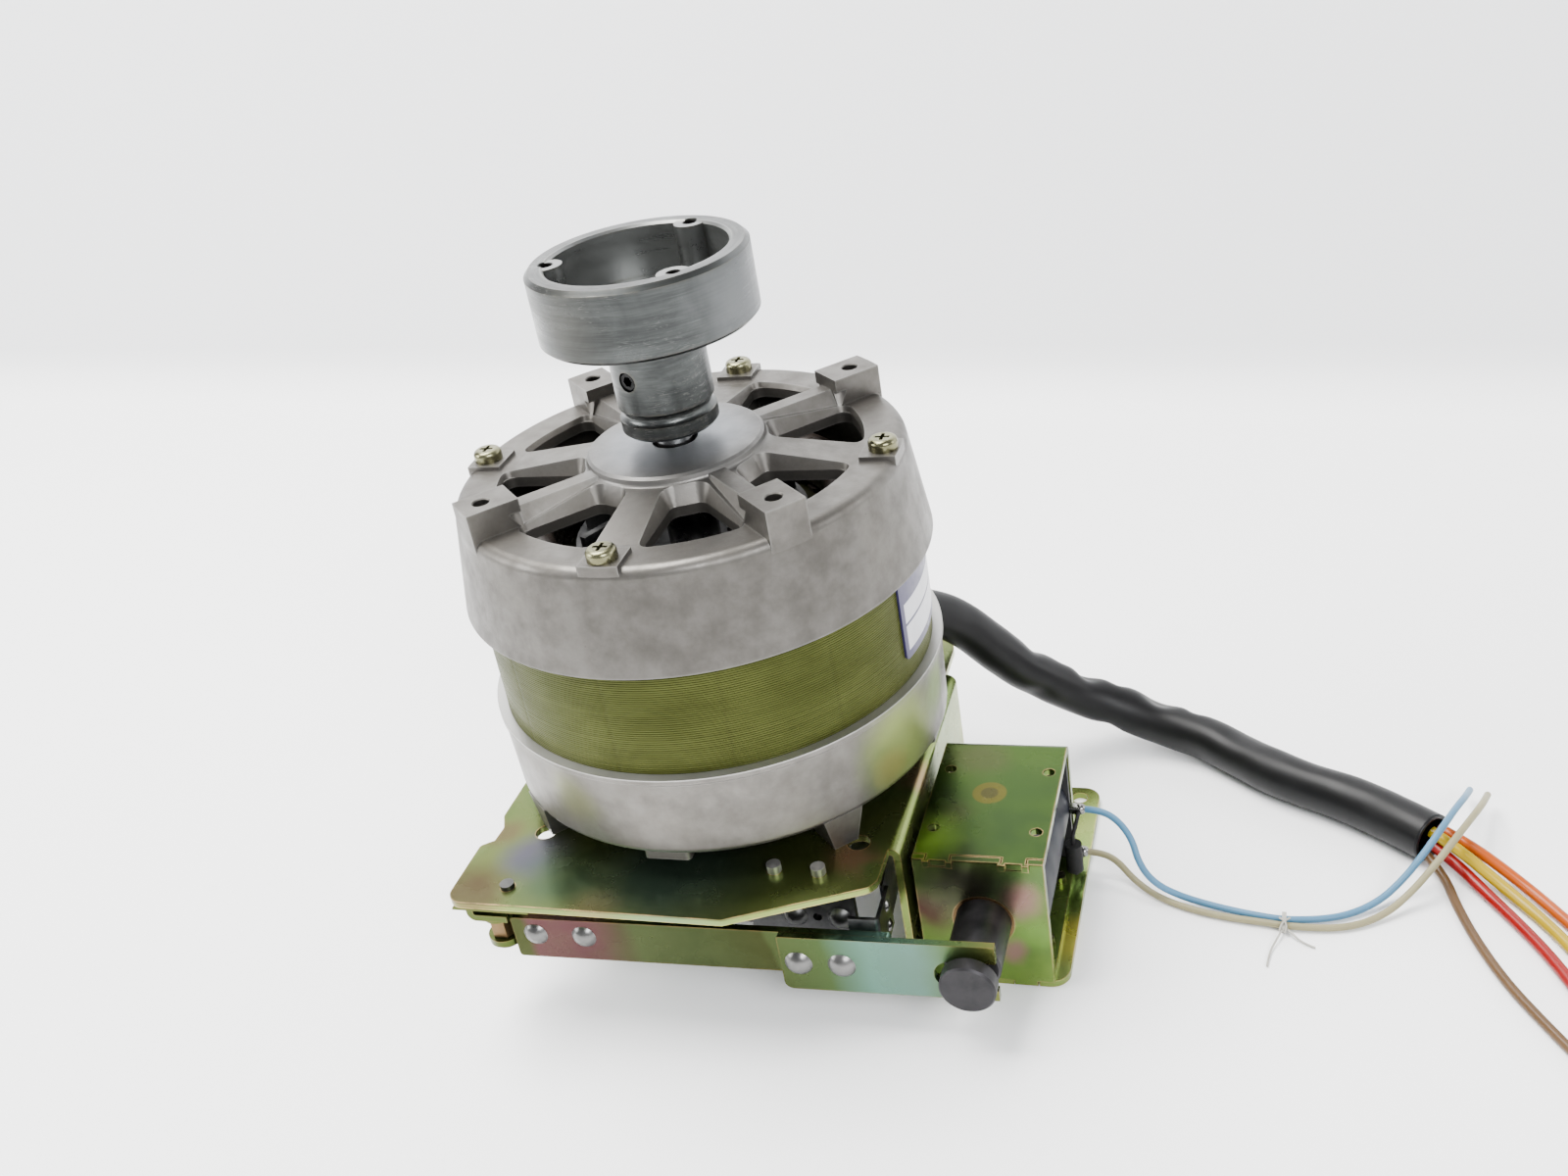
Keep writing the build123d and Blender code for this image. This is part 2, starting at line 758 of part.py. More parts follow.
with BuildPart() as brake_band:
    with BuildSketch(Plane.XY.offset(band_top)):
        with BuildLine() as band_line:
            Line((pull_x, pull_y), along(tangent_angle, band_middle))
            CenterArc((0, 0), band_middle, tangent_angle, 270 - tangent_angle)
            Line((0, -band_middle), (anchor_right - 0.6, -band_middle))
        trace(line_width=band)
    extrude(amount=-band_height)
    with BuildSketch(Plane.XZ.offset(band_middle - 2 * band)):
        with Locations(*[(x, anchor_rivet_z) for x in anchor_rivet_xs]):
            Circle(1.2 + fit)
    extrude(amount=4 * band, mode=Mode.SUBTRACT)

with BuildPart() as brake_lining:
    with BuildSketch(Plane.XY.offset(band_top - 0.5)):
        with BuildLine():
            CenterArc((0, 0), drum_radius + band_gap + lining / 2, 14, 244)
        trace(line_width=lining - 0.04)
    extrude(amount=1.0 - band_height)

# ---------------------------------------------------------------------------
# Pivot of the lever: a folded bracket, a headed pin, a bronze spacer and a clip
# ---------------------------------------------------------------------------
ear_bottom = plate_top - 10.0
ear_top = ear_bottom + sheet
upper_leaf_top = plate_top - 10.35
spacer_top = plate_top - 12.2
spacer_bottom = plate_top - 16.8
lower_leaf_top = plate_top - 17.0
lower_leaf_bottom = lower_leaf_top - sheet
pin_radius = 2.0
pin_bottom = plate_top - 20.6
clip_top = lower_leaf_bottom - 0.2
bracket_left = -46.6
bracket_right = -29.0

with BuildPart() as pivot_bracket:
    with BuildSketch(Plane.XZ.offset(43.0)) as bracket_section:
        with BuildLine():
            Polyline(
                (bracket_right, plate_bottom),
                (bracket_left, plate_bottom),
                (bracket_left, ear_bottom),
                (-37.4, ear_bottom),
                (-37.4, ear_top),
                (bracket_left + sheet, ear_top),
                (bracket_left + sheet, plate_bottom - sheet),
                (bracket_right, plate_bottom - sheet),
                close=True,
            )
        make_face()
        fillet(corner(bracket_section, bracket_left, plate_bottom), 2.0)
        fillet(corner(bracket_section, bracket_left, ear_bottom), 2.0)
        fillet(corner(bracket_section, bracket_left + sheet, ear_top), 0.4)
        fillet(corner(bracket_section, bracket_left + sheet, plate_bottom - sheet), 0.4)
    extrude(amount=14.2)
    with BuildSketch(Plane.XY.offset(ear_bottom)):
        with Locations((pivot_x, -55.2)):
            Rectangle(14.0, 4.6)
    extrude(amount=plate_bottom - sheet - ear_bottom, mode=Mode.SUBTRACT)
    with BuildSketch(Plane.XY.offset(plate_bottom)):
        with Locations(bracket_screw):
            Circle(m3 + fit)
    extrude(amount=-sheet, mode=Mode.SUBTRACT)
    with BuildSketch(Plane.XY.offset(ear_top)):
        with Locations((pivot_x, pivot_y)):
            Circle(pin_radius + fit)
    extrude(amount=-sheet, mode=Mode.SUBTRACT)

with BuildPart() as bracket_fixing_screw:
    add(screw_from_below(*bracket_screw, plate_bottom - sheet, m3, 2.3, 2 * sheet + 1.0))

with BuildPart() as pivot_pin:
    with BuildSketch(Plane.XY.offset(pin_bottom)):
        with Locations((pivot_x, pivot_y)):
            Circle(pin_radius)
    extrude(amount=ear_top - pin_bottom)
    chamfer(pivot_pin.edges().sort_by(Axis.Z)[0], 0.4)
    with BuildSketch(Plane.XY.offset(ear_top)):
        with Locations((pivot_x, pivot_y)):
            Circle(2.8)
    extrude(amount=1.2)

with BuildPart() as pivot_spacer:
    with BuildSketch(Plane.XY.offset(spacer_bottom)):
        with Locations((pivot_x, pivot_y)):
            RegularPolygon(2.7, 6, major_radius=False)
            Circle(pin_radius + fit, mode=Mode.SUBTRACT)
    extrude(amount=spacer_top - spacer_bottom)

with BuildPart() as pivot_clip:
    with BuildSketch(Plane.XY.offset(clip_top)):
        with Locations((pivot_x, pivot_y)):
            Circle(3.0)
            Circle(pin_radius + fit, mode=Mode.SUBTRACT)
        with Locations((pivot_x, pivot_y + 3.0)):
            Rectangle(2.2, 3.6, mode=Mode.SUBTRACT)
    extrude(amount=-0.7)

# ---------------------------------------------------------------------------
# Brake lever: hinge leaf, bar, fork, their rivets and the hook for the band.
# Its plane stands upright through the pivot, faces the front, and has the
# lever's length as its X.
# ---------------------------------------------------------------------------
lever_x = Vector(cos(radians(lever_angle)), sin(radians(lever_angle)), 0)
lever_out = Vector(sin(radians(lever_angle)), -cos(radians(lever_angle)), 0)
lever = Plane(origin=(pivot_x, pivot_y, 0), x_dir=lever_x, z_dir=lever_out)
lever_plan = Plane(origin=(pivot_x, pivot_y, 0), x_dir=lever_x, z_dir=(0, 0, 1))
bar_back = 1.8
bar_front = bar_back + sheet
bar_left = 3.9
bar_right = 86.5
fork_left = 63.4
fork_right = 107.4
slot_end = 98.4
slot_height = 7.0
hinge_right = 26.0
bar_rivet_xs = (9.0, 20.1)
bar_rivet_z = plate_top - 14.6
fork_rivet_xs = (67.2, 76.2)
fork_rivet_z = plate_top - 17.0
rivet_shank = 1.3
hook_x = 83.6
hook_leaf = 5.6
hook_sheet = 0.8
hook_end = 8.6
hook_rivet_y = 5.4
hook_rivet_zs = (band_z - 2.6, band_z + 2.6)

with BuildPart() as lever_bar:
    with BuildSketch(lever.offset(bar_back)) as bar_outline:
        with BuildLine():
            Polyline(
                (bar_left, bar_bottom),
                (bar_right, bar_bottom),
                (bar_right, bar_top),
                (bar_left, bar_top),
                close=True,
            )
        make_face()
        fillet(bar_outline.vertices(), 0.8)
        with Locations(*[(x, bar_rivet_z) for x in bar_rivet_xs], *[(x, fork_rivet_z) for x in fork_rivet_xs]):
            Circle(rivet_shank + fit, mode=Mode.SUBTRACT)
    extrude(amount=sheet)

with BuildPart() as lever_fork:
    with BuildSketch(lever.offset(bar_front)) as fork_outline:
        with BuildLine():
            Polyline(
                (fork_left, fork_bottom),
                (fork_right, fork_bottom),
                (fork_right, fork_top),
                (fork_left, fork_top),
                close=True,
            )
        make_face()
        fillet(corner(fork_outline, fork_left, fork_bottom), 1.8)
        fillet(corner(fork_outline, fork_left, fork_top), 0.6)
        with Locations((fork_right, plunger_z)):
            Rectangle(2 * (fork_right - slot_end), slot_height, mode=Mode.SUBTRACT)
        with Locations((slot_end, plunger_z)):
            Circle(slot_height / 2, mode=Mode.SUBTRACT)
        with Locations(*[(x, fork_rivet_z) for x in fork_rivet_xs]):
            Circle(rivet_shank + fit, mode=Mode.SUBTRACT)
    extrude(amount=sheet)

with BuildPart() as lever_hinge:
    with BuildSketch(lever) as hinge_outline:
        with BuildLine():
            Polyline(
                (bar_left + 1.4, lower_leaf_bottom),
                (hinge_right, lower_leaf_bottom),
                (hinge_right, upper_leaf_top),
                (bar_left + 1.4, upper_leaf_top),
                close=True,
            )
        make_face()
        with Locations(*[(x, bar_rivet_z) for x in bar_rivet_xs]):
            Circle(rivet_shank + fit, mode=Mode.SUBTRACT)
    extrude(amount=bar_back)
    for top in (upper_leaf_top, lower_leaf_top):
        with BuildSketch(lever_plan.offset(top)):
            with Locations(((bar_left + 1.4 + 13.0) / 2, 0.2)):
                Rectangle(13.0 - bar_left - 1.4, 2 * bar_back + 0.4)
            with Locations((3.0, 0.0)):
                Rectangle(6.0, 2 * bar_back)
            Circle(3.9)
            Circle(pin_radius + fit, mode=Mode.SUBTRACT)
        extrude(amount=-sheet)

with BuildPart() as band_hook:
    with BuildSketch(lever_plan.offset(band_top - 1.0)) as hook_plan:
        with BuildLine():
            Polyline(
                (hook_x - hook_leaf, -bar_back),
                (hook_x + hook_sheet, -bar_back),
                (hook_x + hook_sheet, hook_end),
                (hook_x, hook_end),
                (hook_x, -bar_back + hook_sheet),
                (hook_x - hook_leaf, -bar_back + hook_sheet),
                close=True,
            )
        make_face()
        fillet(corner(hook_plan, hook_x + hook_sheet, -bar_back), 1.1)
    extrude(amount=-(band_height - 2.0))
    with BuildSketch(Plane(origin=lever_plan.from_local_coords((hook_x, 0, 0)), x_dir=-lever_out, z_dir=lever_x)):
        with Locations(*[(hook_rivet_y, z) for z in hook_rivet_zs]):
            Circle(0.8 + fit)
    extrude(amount=hook_sheet, mode=Mode.SUBTRACT)


def on_lever(x, z, out):
    """A plane facing out of the lever's front, at a place on the lever."""
    return Plane(origin=lever.from_local_coords((x, z, out)), x_dir=lever_x, z_dir=lever_out)


with BuildPart() as lever_rivets:
    for x in bar_rivet_xs:
        add(dome_rivet(on_lever(x, bar_rivet_z, bar_front), 2.7, 1.4, rivet_shank, sheet + bar_back))
    for x in fork_rivet_xs:
        add(dome_rivet(on_lever(x, fork_rivet_z, bar_front + sheet), 2.9, 1.5, rivet_shank, 2 * sheet + 0.3))

with BuildPart() as hook_rivets:
    for z in hook_rivet_zs:
        place = lever_plan.from_local_coords((hook_x + hook_sheet, hook_rivet_y, z))
        add(dome_rivet(Plane(origin=place, z_dir=lever_x), 1.4, 0.7, 0.8, hook_sheet))

# ---------------------------------------------------------------------------
# Solenoid
# ---------------------------------------------------------------------------
sol_width = sol_right - sol_left
tab_xs = (52.2, 67.6)
tab_width = 4.8
tab_gap = 0.25
tab_drop = 1.2
stake = 0.7
tube_in = plunger_radius + fit
tube_out = 6.3
coil_radius = 12.8
flange = 1.4
flange_inset = 0.3
coil_front = sol_front + sheet + 0.2
coil_back = sol_back - sheet - 0.2
sol_hole_x = 21.2
sol_hole_y = 20.0
sol_hole_middle = -14.1
top_hole = 1.25
sol_screw_length = 4.8
pole_front = -3.6
plunger_back = -11.0
bore_bottom = -24.0
spring_radius = 2.3
spring_wire = 0.7
sol_middle = (sol_left + sol_right) / 2
frame_front = sol_front + sheet + 0.2

with BuildPart() as solenoid_frame:
    with BuildSketch(Plane.YZ.offset(sol_left)) as yoke_section:
        with BuildLine():
            Polyline(
                (frame_front, sol_top),
                (sol_back, sol_top),
                (sol_back, shelf_top),
                (frame_front, shelf_top),
                (frame_front, shelf_top + sheet),
                (sol_back - sheet, shelf_top + sheet),
                (sol_back - sheet, sol_top - sheet),
                (frame_front, sol_top - sheet),
                close=True,
            )
        make_face()
        fillet(corner(yoke_section, sol_back, sol_top), 2.2)
        fillet(corner(yoke_section, sol_back, shelf_top), 2.2)
        fillet(corner(yoke_section, sol_back - sheet, sol_top - sheet), 0.6)
        fillet(corner(yoke_section, sol_back - sheet, shelf_top + sheet), 0.6)
    extrude(amount=sol_width)
    # tabs that pass through the front plate, with their corners staked outwards
    with BuildSketch(Plane.XY.offset(sol_top)):
        with Locations(*[(x, (frame_front + sol_front - stake) / 2) for x in tab_xs]):
            Rectangle(tab_width, frame_front - sol_front + stake)
        with Locations(*[(x, sol_front - fit - stake / 2) for x in tab_xs]):
            Rectangle(tab_width + 2 * stake, stake - fit)
            Rectangle(tab_width - 2 * stake, stake, mode=Mode.SUBTRACT)
    extrude(amount=-sheet)
    with BuildSketch(Plane.XY.offset(sol_top)):
        with Locations((sol_middle, sol_hole_middle)):
            with GridLocations(sol_hole_x, sol_hole_y, 2, 2):
                Circle(top_hole)
    extrude(amount=-sheet, mode=Mode.SUBTRACT)
    with BuildSketch(Plane.XY.offset(shelf_top)):
        with Locations((sol_middle, sol_hole_middle)):
            with GridLocations(sol_hole_x, sol_hole_y, 2, 2):
                Circle(m3 + fit)
    extrude(amount=sheet, mode=Mode.SUBTRACT)

with BuildPart() as solenoid_front_plate:
    with BuildSketch(Plane.XZ.offset(-sol_front - sheet)):
        with Locations((sol_middle, (sol_top + shelf_top) / 2)):
            Rectangle(sol_width, sol_top - shelf_top)
        with Locations(*[(x, sol_top - sheet / 2) for x in tab_xs]):
            Rectangle(tab_width + 2 * tab_gap, sheet + 2 * tab_gap, mode=Mode.SUBTRACT)
        with Locations(*[(x, shelf_top) for x in tab_xs]):
            Rectangle(tab_width, 2 * tab_drop)
        with Locations((plunger_x, plunger_z)):
            Circle(tube_out + fit, mode=Mode.SUBTRACT)
    extrude(amount=sheet)

# planes that face the front, at the front and back of the coil
front_of_coil = Plane.XZ.offset(-coil_front)
back_of_coil = Plane.XZ.offset(-coil_back)
bobbin_height = sol_top - shelf_top - 2 * (sheet + flange_inset)

with BuildPart() as coil_bobbin:
    for face, inwards in ((front_of_coil, -flange), (back_of_coil, flange)):
        with BuildSketch(face):
            with Locations((sol_middle, (sol_top + shelf_top) / 2)):
                RectangleRounded(sol_width - 2 * flange_inset, bobbin_height, 2.0)
        extrude(amount=inwards)
    with BuildSketch(back_of_coil):
        with Locations((plunger_x, plunger_z)):
            Circle(tube_out + 1.2)
    extrude(amount=coil_back - coil_front)
    with BuildSketch(back_of_coil):
        with Locations((plunger_x, plunger_z)):
            Circle(tube_out + fit)
    extrude(amount=coil_back - coil_front, mode=Mode.SUBTRACT)

with BuildPart() as coil_winding:
    with BuildSketch(Plane.XZ.offset(-coil_back + flange + fit)):
        with Locations((sol_middle, (sol_top + shelf_top) / 2)):
            Circle(coil_radius)
        with Locations((plunger_x, plunger_z)):
            Circle(tube_out + 1.2 + fit, mode=Mode.SUBTRACT)
    extrude(amount=coil_back - coil_front - 2 * flange - 2 * fit)

with BuildPart() as plunger_tube:
    with BuildSketch(Plane.XZ.offset(-coil_back)):
        with Locations((plunger_x, plunger_z)):
            Circle(tube_out)
            Circle(tube_in, mode=Mode.SUBTRACT)
    extrude(amount=coil_back - sol_front)

with BuildPart() as pole_piece:
    with BuildSketch(Plane.XZ.offset(-coil_back)):
        with Locations((plunger_x, plunger_z)):
            Circle(plunger_radius)
    extrude(amount=coil_back - pole_front)

with BuildPart() as solenoid_screws:
    with BuildSketch(Plane.XY.offset(shelf_bottom)):
        with Locations((sol_middle, sol_hole_middle)):
            with GridLocations(sol_hole_x, sol_hole_y, 2, 2):
                Circle(m3)
    extrude(amount=sol_screw_length)
    with BuildSketch(Plane.XY.offset(shelf_bottom)):
        with Locations((sol_middle, sol_hole_middle)):
            with GridLocations(sol_hole_x, sol_hole_y, 2, 2):
                Circle(m3 + 1.4)
    extrude(amount=sheet - 0.2, taper=45)

with BuildPart() as shelf_holes:
    with BuildSketch(Plane.XY.offset(shelf_bottom)):
        with Locations((sol_middle, sol_hole_middle)):
            with GridLocations(sol_hole_x, sol_hole_y, 2, 2):
                Circle(m3 + 1.4 + fit)
    extrude(amount=sheet - 0.2, taper=45)
    with BuildSketch(Plane.XY.offset(shelf_bottom)):
        with Locations((sol_middle, sol_hole_middle)):
            with GridLocations(sol_hole_x, sol_hole_y, 2, 2):
                Circle(m3 + fit)
        with Locations((71.7, 27.6)):
            Circle(1.9)
        with Locations(*[(x, shelf_front) for x in tab_xs]):
            Rectangle(tab_width + 2 * tab_gap, 2 * (frame_front - shelf_front))
    extrude(amount=sheet)

with BuildPart() as plunger:
    with BuildSketch(Plane.YZ.offset(plunger_x)) as plunger_section:
        with BuildLine():
            Polyline(
                (-54.3, plunger_z),
                (-54.3, plunger_z + plunger_radius),
                (-51.1, plunger_z + plunger_radius),
                (-51.1, plunger_z + 2.8),
                (-47.9, plunger_z + 2.8),
                (-47.9, plunger_z + plunger_radius),
                (plunger_back, plunger_z + plunger_radius),
                (plunger_back, plunger_z + 3.1),
                (bore_bottom, plunger_z + 3.1),
                (bore_bottom, plunger_z),
                close=True,
            )
        make_face()
        chamfer(corner(plunger_section, -54.3, plunger_z + plunger_radius), 0.4)
        chamfer(corner(plunger_section, -47.9, plunger_z + plunger_radius), 0.5)
    revolve(axis=Axis((plunger_x, 0, plunger_z), (0, 1, 0)))

spring_length = pole_front - bore_bottom - spring_wire - 0.2
spring_start = (plunger_x, bore_bottom + spring_wire / 2 + 0.1, plunger_z)

with BuildPart() as return_spring:
    with BuildLine() as spring_line:
        Helix(
            pitch=spring_length / 8,
            height=spring_length,
            radius=spring_radius,
            center=spring_start,
            direction=(0, 1, 0),
        )
    with BuildSketch(Plane(origin=spring_line.line @ 0, z_dir=spring_line.line % 0)):
        Circle(spring_wire / 2)
    sweep(is_frenet=True)

# terminals on the coil's open side, with solder on them, and a diode that joins them
blue_route = [
    (75.2, 4.0, -96.3),
    (79.0, 4.0, -96.3),
    (83.2, 2.5, -97.2),
    (86.8, -0.9, -99.8),
    (88.4, -4.0, -104.4),
    (91.6, -5.2, -108.6),
    (97.0, -5.4, -111.6),
    (104.6, -7.2, -112.4),
    (112.6, -9.3, -112.25),
    (119.6, -10.3, -112.25),
    (129.6, -8.4, -112.4),
    (137.0, -3.6, -112.0),
    (142.2, 1.2, -109.4),
    (146.2, 4.6, -105.2),
    (150.2, 9.8, -101.8),
    (153.6, 18.0, -102.6),
    (156.4, 27.0, -106.4),
    (157.8, 33.6, -109.8),
]
cream_route = [
    (75.2, 3.6, -108.0),
    (78.8, 3.6, -108.0),
    (82.8, 2.2, -108.7),
    (87.0, -1.8, -111.1),
    (92.4, -5.4, -112.4),
    (99.6, -8.6, -112.45),
    (107.2, -10.4, -112.4),
    (113.2, -11.2, -112.25),
    (120.2, -12.2, -112.25),
    (130.6, -11.6, -112.4),
    (138.2, -7.2, -112.2),
    (143.8, -2.2, -109.6),
    (148.6, 2.0, -105.2),
    (152.8, 7.0, -101.9),
    (156.8, 15.4, -102.6),
    (159.8, 24.4, -105.8),
    (161.2, 31.0, -109.0),
]
terminal_points = (blue_route[0], cream_route[0])
solder_radius = 1.25
diode_centre = (74.5, -3.6)
diode_radius = 1.85
diode_bottom = -107.0
diode_length = 7.0
diode_wire = 0.45

with BuildPart() as coil_terminals:
    for x, y, z in terminal_points:
        with BuildSketch(Plane.YZ.offset(sol_right - flange_inset)):
            with Locations((y, z)):
                RectangleRounded(2.2, 2.0, 0.5)
        extrude(amount=x - sol_right + flange_inset)
        with Locations((x + 0.3, y, z)):
            Sphere(solder_radius)

with BuildPart() as suppression_diode:
    with BuildSketch(Plane.XY.offset(diode_bottom)):
        with Locations(diode_centre):
            Circle(diode_radius)
    extrude(amount=diode_length)
    for x, y, z in terminal_points:
        up = 1 if z > diode_bottom + diode_length else -1
        end = diode_bottom + (diode_length if up > 0 else 0)
        with BuildLine() as wire:
            FilletPolyline(
                (*diode_centre, end - up * 0.5),
                (*diode_centre, end + up * 1.9),
                (diode_centre[0] + 0.6, diode_centre[1] + 3.4, z),
                (x, y - solder_radius - 0.1, z),
                radius=0.8,
            )
        with BuildSketch(Plane(origin=wire.line @ 0, z_dir=wire.line % 0)):
            Circle(diode_wire)
        sweep()

# ---------------------------------------------------------------------------
# Cords
# ---------------------------------------------------------------------------
bend_share = 0.45

orange_route = [
    (150.1, 15.4, -106.5),
    (155.6, 11.2, -107.1),
    (161.6, 7.0, -109.4),
    (167.6, 1.6, -111.5),
    (172.4, -5.2, -112.0),
    (177.2, -12.8, -112.0),
    (181.2, -21.4, -112.0),
    (185.4, -30.2, -112.0),
]
yellow_route = [
    (148.4, 13.4, -105.9),
    (154.0, 8.9, -107.2),
    (160.0, 3.9, -110.1),
    (166.0, -2.4, -111.9),
    (171.2, -10.6, -112.0),
    (175.6, -20.0, -112.0),
    (180.2, -29.2, -112.0),
    (182.6, -39.2, -112.0),
]
red_route = [
    (148.1, 13.0, -108.6),
    (153.2, 8.0, -109.9),
    (158.4, 1.2, -111.8),
    (163.6, -7.2, -112.0),
    (168.6, -16.6, -112.0),
    (172.8, -27.0, -112.0),
    (177.4, -37.0, -112.0),
    (179.6, -47.6, -112.0),
]
brown_route = [
    (147.0, 11.6, -110.1),
    (150.6, 5.8, -111.4),
    (152.4, -2.2, -112.25),
    (155.2, -12.4, -112.25),
    (159.8, -24.4, -112.25),
    (166.4, -36.2, -112.25),
    (173.0, -47.0, -112.25),
    (175.4, -58.4, -112.25),
]


def bend_radii(route):
    """One radius for each corner, as large as its two runs leave room for."""
    points = [Vector(*p) for p in route]
    radii = []
    for before, here, after in zip(points, points[1:], points[2:]):
        shorter = min((here - before).length, (after - here).length)
        turn = radians((here - before).get_angle(after - here))
        radii.append(bend_share * shorter / tan(turn / 2))
    return radii


def cord(route, diameter, name):
    """A round tube along straight runs joined by tangent arcs."""
    radii = bend_radii(route)
    with BuildPart() as made:
        with BuildLine() as path:
            FilletPolyline(*route, radius=radii)
        with BuildSketch(Plane(origin=path.line @ 0, z_dir=path.line % 0)):
            Circle(diameter / 2)
        sweep()
    length = path.wire().length
    share = made.part.volume / (pi / 4 * diameter**2 * length)
    print(f"{name}: length {length:.1f}, volume share {share:.4f}, radii", [round(r, 1) for r in radii])
    return made


cable_sleeve = cord(sleeve_route, sleeve_d, "cable_sleeve")
orange_lead = cord(orange_route, lead_d, "orange_lead")
yellow_lead = cord(yellow_route, lead_d, "yellow_lead")
red_lead = cord(red_route, lead_d, "red_lead")
brown_lead = cord(brown_route, brown_lead_d, "brown_lead")
blue_coil_lead = cord(blue_route, coil_lead_d, "blue_coil_lead")
cream_coil_lead = cord(cream_route, coil_lead_d, "cream_coil_lead")

with BuildPart() as cable_grommet:
    with BuildSketch(outlet):
        Circle(grommet_radius - fit)
    extrude(amount=outlet_length)
    with BuildSketch(outlet.offset(outlet_length)):
        Circle(grommet_radius + 0.6)
    extrude(amount=1.2, taper=10)
    with BuildSketch(outlet):
        Circle(sleeve_d / 2)
    extrude(amount=outlet_length + 1.2, mode=Mode.SUBTRACT)

# a loop of thread round the coil's two leads
tie_middle = (118.0, -11.0, -112.25)

with BuildPart() as lead_tie:
    with BuildSketch(Plane(origin=tie_middle, x_dir=(0, 1, 0), z_dir=(1, 0, 0))):
        SlotOverall(5.6, 2.1)
        SlotOverall(5.1, 1.7, mode=Mode.SUBTRACT)
    extrude(amount=0.9)

# ---------------------------------------------------------------------------
# Rating label: a thin foil that wraps round the stator
# ---------------------------------------------------------------------------
label_thickness = 0.5
label_start = -15.5
label_end = 26.0
label_bottom = -46.9
label_top = -28.6

with BuildPart() as rating_label:
    with BuildSketch(Plane.XY.offset(label_bottom)):
        with BuildLine():
            CenterArc((0, 0), core_radius + 0.03 + label_thickness / 2, label_start, label_end - label_start)
        trace(line_width=label_thickness)
    extrude(amount=label_top - label_bottom)
    fillet(rating_label.edges().filter_by(lambda e: e.length < 1.5 * label_thickness), 1.2)

with BuildPart() as finished_plate:
    add(base_plate.part)
    add(shelf_holes.part, mode=Mode.SUBTRACT)

# ---------------------------------------------------------------------------
# One file for each piece
# ---------------------------------------------------------------------------
pieces = {
    "upper_end_bell": upper_end_bell,
    "lower_end_bell": lower_end_bell,
    "stator_core": stator_core,
    "stator_windings": stator_windings,
    "tie_screws": tie_screws,
    "front_bearing_outer_ring": front_bearing_outer_ring,
    "front_bearing_inner_ring": front_bearing_inner_ring,
    "front_bearing_balls": front_bearing_balls,
    "rear_bearing_outer_ring": rear_bearing_outer_ring,
    "rear_bearing_inner_ring": rear_bearing_inner_ring,
    "rear_bearing_balls": rear_bearing_balls,
    "shaft": shaft,
    "rotor_core": rotor_core,
    "rotor_cage": rotor_cage,
    "drive_hub": drive_hub,
    "hub_set_screws": hub_set_screws,
    "brake_drum": brake_drum,
    "drum_set_screw": drum_set_screw,
    "base_plate": finished_plate,
    "foot_screws": foot_screws,
    "anchor_bracket": anchor_bracket,
    "anchor_screws": anchor_screws,
    "anchor_rivets": anchor_rivets,
    "brake_band": brake_band,
    "brake_lining": brake_lining,
    "pivot_bracket": pivot_bracket,
    "bracket_fixing_screw": bracket_fixing_screw,
    "pivot_pin": pivot_pin,
    "pivot_spacer": pivot_spacer,
    "pivot_clip": pivot_clip,
    "lever_bar": lever_bar,
    "lever_fork": lever_fork,
    "lever_hinge": lever_hinge,
    "lever_rivets": lever_rivets,
    "band_hook": band_hook,
    "hook_rivets": hook_rivets,
    "solenoid_frame": solenoid_frame,
    "solenoid_front_plate": solenoid_front_plate,
    "solenoid_screws": solenoid_screws,
    "coil_bobbin": coil_bobbin,
    "coil_winding": coil_winding,
    "coil_terminals": coil_terminals,
    "suppression_diode": suppression_diode,
    "plunger_tube": plunger_tube,
    "pole_piece": pole_piece,
    "plunger": plunger,
    "return_spring": return_spring,
    "rating_label": rating_label,
    "cable_grommet": cable_grommet,
    "cable_sleeve": cable_sleeve,
    "orange_lead": orange_lead,
    "yellow_lead": yellow_lead,
    "red_lead": red_lead,
    "brown_lead": brown_lead,
    "blue_coil_lead": blue_coil_lead,
    "cream_coil_lead": cream_coil_lead,
    "lead_tie": lead_tie,
}
for name, piece in pieces.items():
    piece.part.label = name
    export_step(piece.part, f"parts/{name}.step")
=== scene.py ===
import bpy, math, random
from mathutils import Vector, Matrix, noise


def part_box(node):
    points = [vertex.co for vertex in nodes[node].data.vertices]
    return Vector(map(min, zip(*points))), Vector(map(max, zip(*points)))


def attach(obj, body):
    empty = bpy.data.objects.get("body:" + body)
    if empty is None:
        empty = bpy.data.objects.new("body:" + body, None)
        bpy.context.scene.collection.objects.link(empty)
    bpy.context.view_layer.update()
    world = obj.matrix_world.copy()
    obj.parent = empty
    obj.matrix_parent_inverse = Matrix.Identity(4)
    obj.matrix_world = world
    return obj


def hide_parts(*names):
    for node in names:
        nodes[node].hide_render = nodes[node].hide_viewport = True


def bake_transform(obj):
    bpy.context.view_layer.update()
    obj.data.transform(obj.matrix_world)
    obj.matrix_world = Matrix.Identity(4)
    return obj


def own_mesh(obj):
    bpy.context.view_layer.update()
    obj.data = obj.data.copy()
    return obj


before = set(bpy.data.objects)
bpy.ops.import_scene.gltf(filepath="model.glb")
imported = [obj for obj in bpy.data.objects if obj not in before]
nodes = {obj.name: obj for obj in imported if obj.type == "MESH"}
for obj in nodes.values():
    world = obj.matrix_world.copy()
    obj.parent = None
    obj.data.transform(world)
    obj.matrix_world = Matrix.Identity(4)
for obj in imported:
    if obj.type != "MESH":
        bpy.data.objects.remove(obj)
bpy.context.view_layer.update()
MM = 0.001

